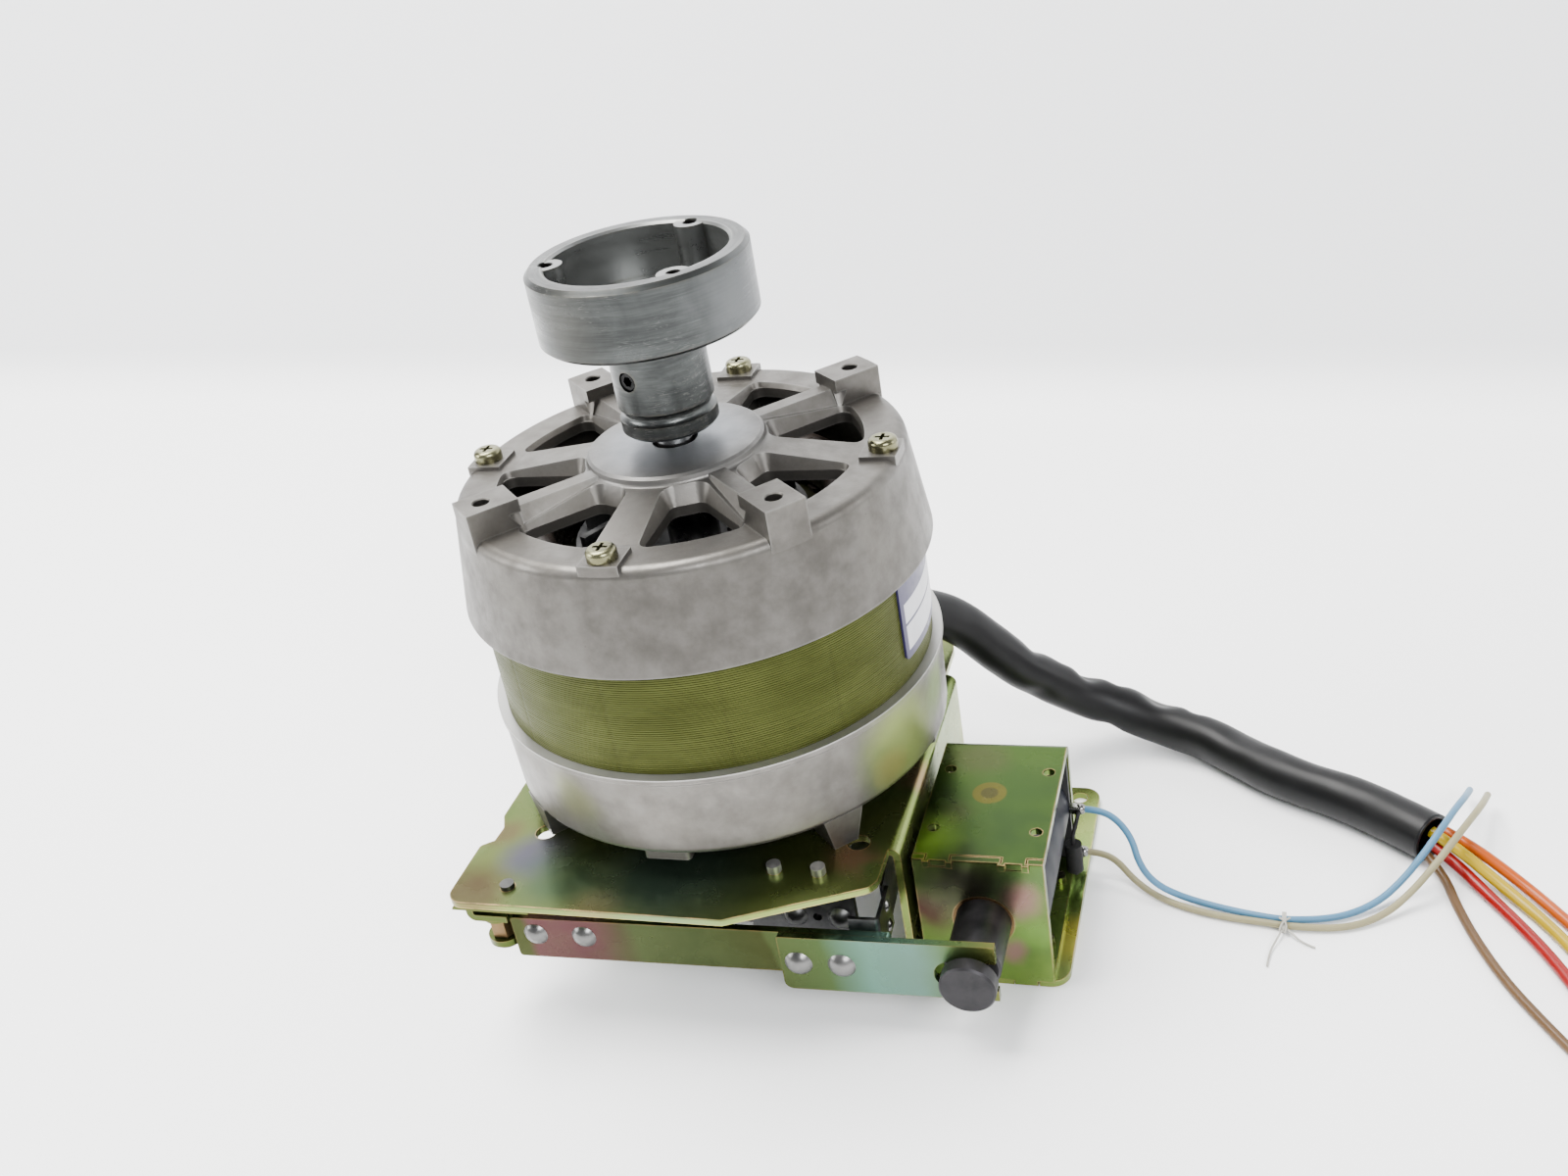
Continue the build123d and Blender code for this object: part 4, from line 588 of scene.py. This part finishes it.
SOLENOID_STAINS = [
    (68.5, -34.2, -90.6, 5.0, (0.34, 0.17, 0.17), 0.85), (65, -34.2, -104, 4.0, (0.34, 0.17, 0.17), 0.75),
    (49.0, -34.2, -94, 7.5, (0.07, 0.025, 0.025), 0.95), (56, -34.2, -87, 10.5, (0.050, 0.038, 0.035), 0.9),
    (70.5, -34.2, -100, 5, (0.20, 0.36, 0.08), 0.8), (55, 0, -80.4, 8, (0.26, 0.19, 0.13), 0.6),
    (53, -19, -80.4, 5, (0.26, 0.22, 0.14), 0.6), (49.5, -26, -80.4, 8, (0.80, 1.0, 0.35), 0.8),
    (63, -10, -80.4, 9, (0.13, 0.22, 0.06), 0.7),
]
# holes painted with shade inside: x, y and radius in millimetres
BOSS_HOLES_SHADED = [(x, y, 1.65) for x in (-30, 30) for y in (-30, 30)]
HUB_ANGLES = [math.radians(a) for a in (73, 193, 313)]
HUB_HOLES_SHADED = [(18.0 * math.cos(a), 18.0 * math.sin(a), 1.55) for a in HUB_ANGLES]
# the hub's bore, painted with light inside: radius and lowest level in millimetres
HUB_LIT_BORE = (18.9, 27.4)
# level above which the lower casting's rim gets a painted highlight, in millimetres
LOWER_BELL_RIM_HIGHLIGHT = -51.6
# painted shade on the tops of the plate and the solenoid: a level in millimetres and the tint that darkens
# all above it
PLATE_TOP_SHADE = (-78.0, (0.42, 0.42, 0.42))
SOLENOID_TOP_SHADE = (-80.4, (0.24, 0.31, 0.17))
LEVER_ENDS = (-40, 65)

MATS = {
    "cast": cast_aluminium("cast_aluminium", holes=BOSS_HOLES_SHADED, stains_and_painted_light=DISC_PAINTED_LIGHT),
    "cast_low": cast_aluminium("cast_aluminium_smooth", rough=(0.42, 0.32), grain=0.45, specks=0.0,
                               highlight_level=LOWER_BELL_RIM_HIGHLIGHT, stains_and_painted_light=LOWER_BELL_PAINTED_REFLECTIONS),
    "hub": turned_metal("turned_hub", holes=HUB_HOLES_SHADED, lit_bore=HUB_LIT_BORE, stains_and_painted_light=HUB_PAINTED_LIGHT_AND_SHADE),
    "drum": turned_metal("turned_drum", tint=(0.40, 0.40, 0.40), dark=(0.25, 0.25, 0.26)),
    "plate": chromate("chromate_plate", PLATE_FILM, tilt=0.10, top=PLATE_TOP_SHADE, stains_and_painted_light=PLATE_STAINS),
    "lever": chromate("chromate_lever", LEVER_FILM, bar=LEVER_ENDS, seed=0.02),
    "solenoid": paint_ring(chromate("solenoid_case", SOLENOID_FILM, scale=0.9, seed=0.013, tilt=0.0,
                                    top=SOLENOID_TOP_SHADE, stains_and_painted_light=SOLENOID_STAINS)),
    "bracket": chromate("chromate_bracket", PLATE_FILM, seed=0.04),
    "zinc": steel("yellow_zinc", (0.42, 0.41, 0.27), (0.24, 0.23, 0.14)),
    "bright": steel("bright_steel", (0.48, 0.475, 0.46), (0.30, 0.30, 0.29), rough=(0.16, 0.32)),
    "rivet": steel("rivet_zinc", (0.50, 0.495, 0.48), (0.38, 0.38, 0.37), rough=(0.24, 0.36)),
    "screw": steel("screw_steel", (0.62, 0.62, 0.60), (0.42, 0.42, 0.41), rough=(0.34, 0.5)),
    "dull": steel("dull_rivet", (0.20, 0.20, 0.195), (0.10, 0.10, 0.10), rough=(0.30, 0.45)),
    "dark": steel("dark_steel", (0.085, 0.085, 0.085), (0.035, 0.035, 0.038), rough=(0.28, 0.5)),
    "plunger": steel("phosphated_plunger", (0.105, 0.100, 0.108), (0.055, 0.053, 0.058),
                     rough=(0.34, 0.52), metallic=0.8),
    "oxide": steel("oxide_screw", (0.03, 0.03, 0.03), (0.012, 0.012, 0.012), rough=(0.2, 0.4)),
    "bronze": steel("bronze", (0.30, 0.20, 0.11), (0.18, 0.12, 0.06), rough=(0.25, 0.45)),
    "lamination": laminations(),
    "windings": dark_windings(),
    "cage": steel("cast_cage", (0.28, 0.28, 0.28), (0.15, 0.15, 0.15), rough=(0.35, 0.6)),
    "lining": plastic("friction_lining", (0.16, 0.10, 0.065), 0.8, 0.35, 0.06),
    "tape": coil_tape(),
    "bobbin": plastic("bobbin_plastic", (0.03, 0.03, 0.032), 0.45),
    "label": label_paint(),
    "rubber": plastic("grommet_rubber", (0.022, 0.022, 0.022), 0.6, 0.25, 0.04, shine=0.2),
    "sleeve": plastic("sleeve_pvc", (0.018, 0.018, 0.020), 0.42, 0.2, 0.02, shine=0.2),
    "orange": plastic("orange_pvc", (0.80, 0.15, 0.02), 0.32, 0.08, 0.01, sub=0.05),
    "yellow": plastic("yellow_pvc", (0.86, 0.60, 0.03), 0.32, 0.08, 0.01, sub=0.05),
    "red": plastic("red_pvc", (0.66, 0.035, 0.035), 0.32, 0.08, 0.01, sub=0.05),
    "brown": plastic("brown_pvc", (0.16, 0.085, 0.035), 0.38, 0.10, 0.01),
    "blue": plastic("blue_pvc", (0.22, 0.42, 0.62), 0.42, 0.08, 0.01, sub=0.05),
    "cream": plastic("cream_pvc", (0.60, 0.57, 0.44), 0.45, 0.10, 0.01, sub=0.05),
    "solder": steel("solder", (0.62, 0.62, 0.60), (0.35, 0.34, 0.33), rough=(0.15, 0.35), scale=3.0),
    "thread": plastic("waxed_thread", (0.72, 0.70, 0.62), 0.7, 0.15, 0.05, scale=3.0),
}

# the CAD nodes that each material covers
MATERIAL_NODES = {
    "cast": "upper_end_bell",
    "cast_low": "lower_end_bell",
    "lamination": "stator_core",
    "windings": "stator_windings",
    "zinc": "tie_screws foot_screws solenoid_screws",
    "bright": (
        "front_bearing_outer_ring front_bearing_inner_ring front_bearing_balls "
        "rear_bearing_outer_ring rear_bearing_inner_ring rear_bearing_balls shaft pivot_pin "
        "hook_rivets pole_piece return_spring"
    ),
    "cage": "rotor_core rotor_cage",
    "hub": "drive_hub",
    "oxide": "hub_set_screws drum_set_screw",
    "drum": "brake_drum",
    "plate": "base_plate",
    "dark": "anchor_bracket brake_band pivot_clip band_hook",
    "screw": "anchor_screws",
    "dull": "anchor_rivets bracket_fixing_screw",
    "lining": "brake_lining",
    "bracket": "pivot_bracket lever_hinge",
    "bronze": "pivot_spacer plunger_tube",
    "lever": "lever_bar lever_fork",
    "rivet": "lever_rivets",
    "solenoid": "solenoid_frame solenoid_front_plate",
    "bobbin": "coil_bobbin",
    "tape": "coil_winding",
    "solder": "coil_terminals",
    "rubber": "suppression_diode cable_grommet",
    "plunger": "plunger",
    "label": "rating_label",
    "sleeve": "cable_sleeve",
    "orange": "orange_lead",
    "yellow": "yellow_lead",
    "red": "red_lead",
    "brown": "brown_lead",
    "blue": "blue_coil_lead",
    "cream": "cream_coil_lead",
    "thread": "lead_tie",
}
for key, names in MATERIAL_NODES.items():
    for name in names.split():
        if not nodes[name].material_slots:
            nodes[name].data.materials.append(MATS[key])
        for slot in nodes[name].material_slots:
            slot.material = MATS[key]


def link(obj):
    """Put an object into the scene."""
    bpy.context.collection.objects.link(obj)
    return obj


def new_mesh(name, verts, faces, mat, smooth=True):
    """A mesh object with one material."""
    me = bpy.data.meshes.new(name)
    me.from_pydata([tuple(v) for v in verts], [], faces)
    me.update()
    if smooth:
        me.polygons.foreach_set("use_smooth", [True] * len(me.polygons))
    o = link(bpy.data.objects.new(name, me))
    me.materials.append(MATS[mat])
    return o


# ------------------------------------------------------------------ cords
def nurbs(name, pts, radius, mat):
    """One open NURBS spline through the route's control points, in millimetres."""
    c = bpy.data.curves.new(name, "CURVE")
    c.dimensions = "3D"
    c.resolution_u = 12
    c.bevel_depth = radius * MM
    c.bevel_resolution = 8
    c.use_fill_caps = True
    s = c.splines.new("NURBS")
    s.points.add(len(pts) - 1)
    for p, q in zip(s.points, pts):
        p.co = (q[0] * MM, q[1] * MM, q[2] * MM, 1.0)
    s.order_u = 3
    s.use_endpoint_u = True
    o = link(bpy.data.objects.new(name, c))
    c.materials.append(MATS[mat])
    return o


def spline_points(obj):
    """The points of a curve's own line, as Blender gives them with no bevel."""
    depth = obj.data.bevel_depth
    obj.data.bevel_depth = 0.0
    bpy.context.view_layer.update()
    me = bpy.data.meshes.new_from_object(obj)
    pts = [v.co.copy() for v in me.vertices]
    obj.data.bevel_depth = depth
    bpy.data.meshes.remove(me)
    return pts


def line_length(pts):
    """The length of a line of points."""
    return sum((b - a).length for a, b in zip(pts, pts[1:]))


# control points of the cords' routes, in millimetres
SLEEVE = [
    (32.0, 30.2, -60.5), (38.6, 36.6, -65.0), (44.8, 41.5, -71.6), (50.9, 43.9, -79.4),
    (58.3, 46.7, -88.4), (68.8, 51.5, -97.4), (80.6, 52.7, -103.3), (93.2, 50.3, -106.9),
    (105.4, 44.0, -107.8), (115.8, 34.8, -107.8), (126.6, 29.1, -107.8), (137.8, 22.6, -107.8),
    (148.6, 13.6, -107.8),
]
LEADS = {
    "orange_lead": ("orange", 2.5, [
        (150.1, 15.4, -106.5), (155.6, 11.2, -107.1), (161.6, 7.0, -109.4), (167.6, 1.6, -111.5),
        (172.4, -5.2, -112.0), (177.2, -12.8, -112.0), (181.2, -21.4, -112.0), (185.4, -30.2, -112.0),
    ]),
    "yellow_lead": ("yellow", 2.5, [
        (148.4, 13.4, -105.9), (154.0, 8.9, -107.2), (160.0, 3.9, -110.1), (166.0, -2.4, -111.9),
        (171.2, -10.6, -112.0), (175.6, -20.0, -112.0), (180.2, -29.2, -112.0), (182.6, -39.2, -112.0),
    ]),
    "red_lead": ("red", 2.5, [
        (148.1, 13.0, -108.6), (153.2, 8.0, -109.9), (158.4, 1.2, -111.8), (163.6, -7.2, -112.0),
        (168.6, -16.6, -112.0), (172.8, -27.0, -112.0), (177.4, -37.0, -112.0), (179.6, -47.6, -112.0),
    ]),
    "brown_lead": ("brown", 2.0, [
        (147.0, 11.6, -110.1), (150.6, 5.8, -111.4), (152.4, -2.2, -112.25), (155.2, -12.4, -112.25),
        (159.8, -24.4, -112.25), (166.4, -36.2, -112.25), (173.0, -47.0, -112.25), (175.4, -58.4, -112.25),
    ]),
}
COIL_LEAD_DIAMETER = 1.5
COIL_LEADS = {
    "blue_coil_lead": ("blue", [
        (75.2, 4.0, -96.3), (79.0, 4.0, -96.3), (83.2, 2.5, -97.2), (86.8, -0.9, -99.8),
        (88.4, -4.0, -104.4), (91.6, -5.2, -108.6), (97.0, -5.4, -111.6), (104.6, -7.2, -112.4),
        (112.6, -9.3, -112.25), (119.6, -10.3, -112.25), (129.6, -8.4, -112.4), (137.0, -3.6, -112.0),
        (142.2, 1.2, -109.4), (146.2, 4.6, -105.2), (150.2, 9.8, -101.8), (153.6, 18.0, -102.6),
        (156.4, 27.0, -106.4), (157.8, 33.6, -109.8),
    ]),
    "cream_coil_lead": ("cream", [
        (75.2, 3.6, -108.0), (78.8, 3.6, -108.0), (82.8, 2.2, -108.7), (87.0, -1.8, -111.1),
        (92.4, -5.4, -112.4), (99.6, -8.6, -112.45), (107.2, -10.4, -112.4), (113.2, -11.2, -112.25),
        (120.2, -12.2, -112.25), (130.6, -11.6, -112.4), (138.2, -7.2, -112.2), (143.8, -2.2, -109.6),
        (148.6, 2.0, -105.2), (152.8, 7.0, -101.9), (156.8, 15.4, -102.6), (159.8, 24.4, -105.8),
        (161.2, 31.0, -109.0),
    ]),
}


def lead(name, mat, pts, dia):
    """A wire that stands for a CAD cord."""
    o = nurbs(name + "_wire", pts, dia / 2, mat)
    length = line_length(spline_points(o))
    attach(o, "motor_frame")
    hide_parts(name)
    [c * MM for c in pts[0]]
    return o


def resample(pts, step):
    """The same line with points at even distances, about one step apart."""
    total = line_length(pts)
    count = max(2, int(total / step))
    out, i, run = [], 0, 0.0
    for k in range(count + 1):
        want = total * k / count
        while i < len(pts) - 2 and run + (pts[i + 1] - pts[i]).length < want:
            run += (pts[i + 1] - pts[i]).length
            i += 1
        seg = (pts[i + 1] - pts[i]).length
        out.append(pts[i].lerp(pts[i + 1], min(1.0, (want - run) / max(seg, 1e-9))))
    return out


SLEEVE_RADIUS = 5.5
SLEEVE_SIDES = 56
# dents of the empty part: place along the sleeve, angle round it, depth in mm, half length, spread round it
DENTS = [
    (0.27, 1.15, 0.9, 0.020, 0.7), (0.335, 0.70, 1.3, 0.018, 0.5), (0.385, 1.25, 1.7, 0.022, 0.7),
    (0.44, 0.75, 0.9, 0.014, 0.5), (0.515, 1.15, 1.5, 0.026, 0.7), (0.575, 0.65, 0.8, 0.014, 0.5),
    (0.67, 1.3, 0.6, 0.035, 0.8), (0.80, 0.8, 0.35, 0.04, 0.8), (0.31, 3.7, 0.7, 0.02, 0.6),
    (0.45, 4.1, 0.8, 0.02, 0.6), (0.60, 3.4, 0.5, 0.03, 0.6),
]
# the open end, a wall 0.5 mm thick that goes back inside: distance from the end and radius, in mm
OPEN_END = ((0.0, 5.05), (0.0, 4.55), (1.6, 4.5), (9.0, 4.4))


def sleeve_line():
    """The sleeve's centre line, in even steps."""
    route = nurbs("sleeve_route", SLEEVE, SLEEVE_RADIUS, "sleeve")
    pts = spline_points(route)
    bpy.data.objects.remove(route)
    return resample(pts, 0.7 * MM)


def dent_depth(place, angle):
    """How far the wall is pressed in, in millimetres, at a place along the sleeve and an angle round it."""
    depth = 0.0
    for along, towards, deepest, half, spread in DENTS:
        off = (angle - towards + math.pi) % (2 * math.pi) - math.pi
        depth += deepest * math.exp(-(((place - along) / half) ** 2) - (off / spread) ** 2)
    return depth


def sleeve_tube(line):
    """The dented tube, with an open end where the leads come out."""
    verts, faces = [], []
    wall = SLEEVE_RADIUS * MM

    def directions(i):
        """The direction of the line at a point, and the ones from there out to the wall."""
        ahead = (line[min(i + 1, len(line) - 1)] - line[max(i - 1, 0)]).normalized()
        side = Vector((0, 0, 1)).cross(ahead).normalized()
        top = ahead.cross(side).normalized()
        angles = [2 * math.pi * j / SLEEVE_SIDES for j in range(SLEEVE_SIDES)]
        return ahead, [(a, side * math.cos(a) + top * math.sin(a)) for a in angles]

    def join(low, high):
        """Faces between two rings, by the rings' first vertices."""
        for j in range(SLEEVE_SIDES):
            k = (j + 1) % SLEEVE_SIDES
            faces.append((low + j, low + k, high + k, high + j))

    for i, p in enumerate(line):
        place = i / (len(line) - 1)
        shown = 0.35 if place > 0.93 or place < 0.05 else 1.0
        for angle, out in directions(i)[1]:
            q = p + out * wall
            wobble = noise.noise(q * 170.0) * 0.10 + noise.noise(q * 60.0 + Vector((7, 3, 1))) * 0.18
            verts.append(p + out * (wall + (wobble - dent_depth(place, angle)) * MM * shown - 0.12 * MM))
    for i in range(len(line) - 1):
        join(i * SLEEVE_SIDES, (i + 1) * SLEEVE_SIDES)
    ahead, outs = directions(len(line) - 1)
    previous = (len(line) - 1) * SLEEVE_SIDES
    for back, radius in OPEN_END:
        join(previous, len(verts))
        previous = len(verts)
        verts += [line[-1] - ahead * back * MM + out * radius * MM for _, out in outs]
    faces.append(tuple(previous + j for j in range(SLEEVE_SIDES)))
    faces.append(tuple(reversed(range(SLEEVE_SIDES))))
    return new_mesh("cable_sleeve_tube", verts, faces, "sleeve")


sleeve_points = sleeve_line()
sleeve = sleeve_tube(sleeve_points)
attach(sleeve, "motor_frame")
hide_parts("cable_sleeve")
round(line_length(sleeve_points), 4)

for name, (mat, dia, pts) in LEADS.items():
    lead(name, mat, pts, dia)
for name, (mat, pts) in COIL_LEADS.items():
    lead(name, mat, pts, COIL_LEAD_DIAMETER)


KNOT = (118.4, -12.6, -111.9)
# two long tails and two short loops over the leads, from the knot, in millimetres
THREAD_ENDS = [
    [(0, 0, 0), (-1.2, -3.0, -0.4), (-2.9, -7.2, -1.0), (-3.2, -11.0, -1.1)],
    [(0, 0, 0), (1.6, -2.0, 0.0), (3.6, -3.6, -1.0), (6.2, -4.6, -1.15)],
    [(-0.9, 1.4, 1.1), (0.2, 0.4, 1.2), (0.6, -0.9, 0.7), (0.2, -1.6, -0.2)],
    [(1.2, 1.6, 1.0), (0.3, 0.6, 1.3), (-0.6, -0.6, 0.9), (-0.9, -1.4, 0.0)],
]


def thread_tails():
    """The two cut ends of the thread that ties the coil's leads, and the loops of its knot."""
    c = bpy.data.curves.new("thread_tails", "CURVE")
    c.dimensions = "3D"
    c.bevel_depth = 0.22 * MM
    c.bevel_resolution = 3
    c.use_fill_caps = True
    for ends in THREAD_ENDS:
        sp = c.splines.new("NURBS")
        sp.points.add(len(ends) - 1)
        for p, (x, y, z) in zip(sp.points, ends):
            p.co = ((KNOT[0] + x) * MM, (KNOT[1] + y) * MM, (KNOT[2] + z) * MM, 1.0)
        sp.order_u = 3
        sp.use_endpoint_u = True
    o = link(bpy.data.objects.new("thread_tails", c))
    c.materials.append(MATS["thread"])
    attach(o, "motor_frame")
    return o


thread_tails()

# ------------------------------------------------------------------ stator laminations
SHEET_PITCH = 0.5 * MM
SHEET_GAP = 0.14 * MM
STACK_SIDES = 360
STACK_BORE = 26.2 * MM
# angles of the fine seams down the outside, in degrees, their half width and their depth
SEAMS = (-127, -97, -68, -40, 37, 52, 83, 112, 142, 172, 202)
SEAM_HALF_WIDTH, SEAM_DEPTH = 0.6, 0.04 * MM


def seam_depth(angle):
    """How far a seam cuts in at an angle in radians."""
    offsets = ((math.degrees(angle) - seam + 180) % 360 - 180 for seam in SEAMS)
    return SEAM_DEPTH if any(abs(off) < SEAM_HALF_WIDTH for off in offsets) else 0.0


def lamination_stack():
    """The stator core as a stack of ridged sheets, each a little different in size."""
    bottom, top = STACK_LOW.z, STACK_HIGH.z
    count = int((top - bottom) / SHEET_PITCH)
    thick = (top - bottom) / count
    rng = random.Random(7)
    gap = STACK_RADIUS - SHEET_GAP
    profile = [(bottom, STACK_BORE)]
    for k in range(count):
        low = bottom + k * (top - bottom) / count
        edge = STACK_RADIUS - rng.uniform(0.0, 0.035) * MM
        ridge = ((0.02, gap), (0.16, edge), (0.84, edge), (0.98, gap))
        profile += [(low + part * thick, radius) for part, radius in ridge]
    profile += [(top, STACK_BORE), (bottom, STACK_BORE)]
    angles = [2 * math.pi * j / STACK_SIDES for j in range(STACK_SIDES)]
    cuts = [seam_depth(a) for a in angles]
    verts, faces = [], []
    for z, r in profile:
        for a, depth in zip(angles, cuts):
            rr = r - (depth if r > STACK_BORE else 0.0)
            verts.append((rr * math.cos(a), rr * math.sin(a), z))
    for i in range(len(profile) - 1):
        low, high = i * STACK_SIDES, (i + 1) * STACK_SIDES
        for j in range(STACK_SIDES):
            k = (j + 1) % STACK_SIDES
            faces.append((low + j, low + k, high + k, high + j))
    return new_mesh("lamination_stack", verts, faces, "lamination", smooth=False)


stack = lamination_stack()
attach(stack, "motor_frame")
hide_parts("stator_core")


# ------------------------------------------------------------------ copies of the return spring and the brake band
def moving_copy(name):
    """A copy of a CAD node's mesh, shown in place of the node."""
    o = link(bpy.data.objects.new(name + "_moving", nodes[name].data.copy()))
    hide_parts(name)
    return o


spring = moving_copy("return_spring")
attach(spring, "motor_frame")
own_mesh(spring)

# the brake band, copied and shown in place of the node, with its placement baked into its mesh
band = moving_copy("brake_band")
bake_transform(band)

# ------------------------------------------------------------------ floor, backdrop and lights
# the table's far edge in the photo, as two points in metres, and the bend where the backdrop starts
FAR_EDGE = (Vector((-0.481, 0.302)), Vector((0.202, 0.225)))
BEND_RADIUS, BEND_ANGLE, BEND_STEPS = 0.025, math.radians(66), 12


def stage_sheet():
    """A table with a low backdrop behind it, as one sheet with a soft bend."""
    a, b = FAR_EDGE
    along = (b - a).normalized()
    away = Vector((-along.y, along.x))
    if away.y < 0:
        away = -away
    mid = (a + b) / 2
    profile = [(-3.0, 0.0), (-0.6, 0.0), (-0.02, 0.0)]
    for k in range(1, BEND_STEPS + 1):
        t = k / BEND_STEPS * BEND_ANGLE
        profile.append((BEND_RADIUS * math.sin(t), BEND_RADIUS * (1 - math.cos(t))))
    end = profile[-1]
    profile.append((end[0] + 1.5 * math.cos(BEND_ANGLE), end[1] + 1.5 * math.sin(BEND_ANGLE)))
    places = (-4.0, -1.0, 0.0, 1.0, 4.0)
    verts, faces = [], []
    for d, h in profile:
        for s in places:
            q = mid + along * s + away * d
            verts.append((q.x, q.y, floor_z + h))
    n = len(places)
    for i in range(len(profile) - 1):
        for j in range(n - 1):
            faces.append((i * n + j, i * n + j + 1, (i + 1) * n + j + 1, (i + 1) * n + j))
    me = bpy.data.meshes.new("backdrop")
    me.from_pydata(verts, [], faces)
    me.polygons.foreach_set("use_smooth", [True] * len(me.polygons))
    o = link(bpy.data.objects.new("backdrop", me))
    me.materials.append(floor_surface())
    return o


stage_sheet()


def area(name, loc, target, width, height, watts, color):
    """A softbox that faces its target."""
    d = bpy.data.lights.new(name, "AREA")
    d.energy, d.color = watts, color
    d.shape = "RECTANGLE"
    d.size, d.size_y = width, height
    o = link(bpy.data.objects.new(name, d))
    o.location = loc
    o.rotation_mode = "QUATERNION"
    o.rotation_quaternion = (Vector(target) - Vector(loc)).to_track_quat("-Z", "Y")
    return o


area("key_softbox", (-0.40, 0.10, 1.10), (0.02, 0.0, -0.05), 0.9, 0.7, 51.0, (1.0, 0.99, 0.97))
area("front_softbox", (0.75, -0.95, 0.80), (0.05, 0.1, -0.05), 0.7, 0.5, 25.0, (0.97, 0.98, 1.0))
area("left_softbox", (-1.1, -0.35, 0.45), (0.0, 0.0, -0.05), 0.6, 0.6, 15.0, (1.0, 1.0, 1.0))
area("right_softbox", (1.1, 0.25, 0.35), (0.0, 0.0, 0.0), 0.5, 0.5, 6.0, (1.0, 1.0, 1.0))

# the room: light grey below, brightest at eye level and darker above
BELOW, EYE_LEVEL, ABOVE = (0.80, 0.81, 0.83, 1), (0.95, 0.96, 0.98, 1), (0.42, 0.43, 0.45, 1)
ROOM_STRENGTH = 0.82


def room():
    """The world's light, by height only."""
    world = bpy.context.scene.world or bpy.data.worlds.new("studio")
    bpy.context.scene.world = world
    world.use_nodes = True
    tree = world.node_tree
    tree.nodes.clear()
    output = tree.nodes.new("ShaderNodeOutputWorld")
    background = tree.nodes.new("ShaderNodeBackground")
    tree.links.new(background.outputs[0], output.inputs[0])
    ramp = tree.nodes.new("ShaderNodeValToRGB")
    coords = tree.nodes.new("ShaderNodeTexCoord")
    axes = tree.nodes.new("ShaderNodeSeparateXYZ")
    tree.links.new(coords.outputs["Generated"], axes.inputs[0])
    height = tree.nodes.new("ShaderNodeMapRange")
    height.inputs[1].default_value, height.inputs[2].default_value = -1.0, 1.0
    tree.links.new(axes.outputs[2], height.inputs[0])
    tree.links.new(height.outputs[0], ramp.inputs[0])
    stops = ramp.color_ramp.elements
    stops[0].color, stops[1].color = BELOW, ABOVE
    stops.new(0.52).color = EYE_LEVEL
    tree.links.new(ramp.outputs[0], background.inputs[0])
    background.inputs[1].default_value = ROOM_STRENGTH


room()
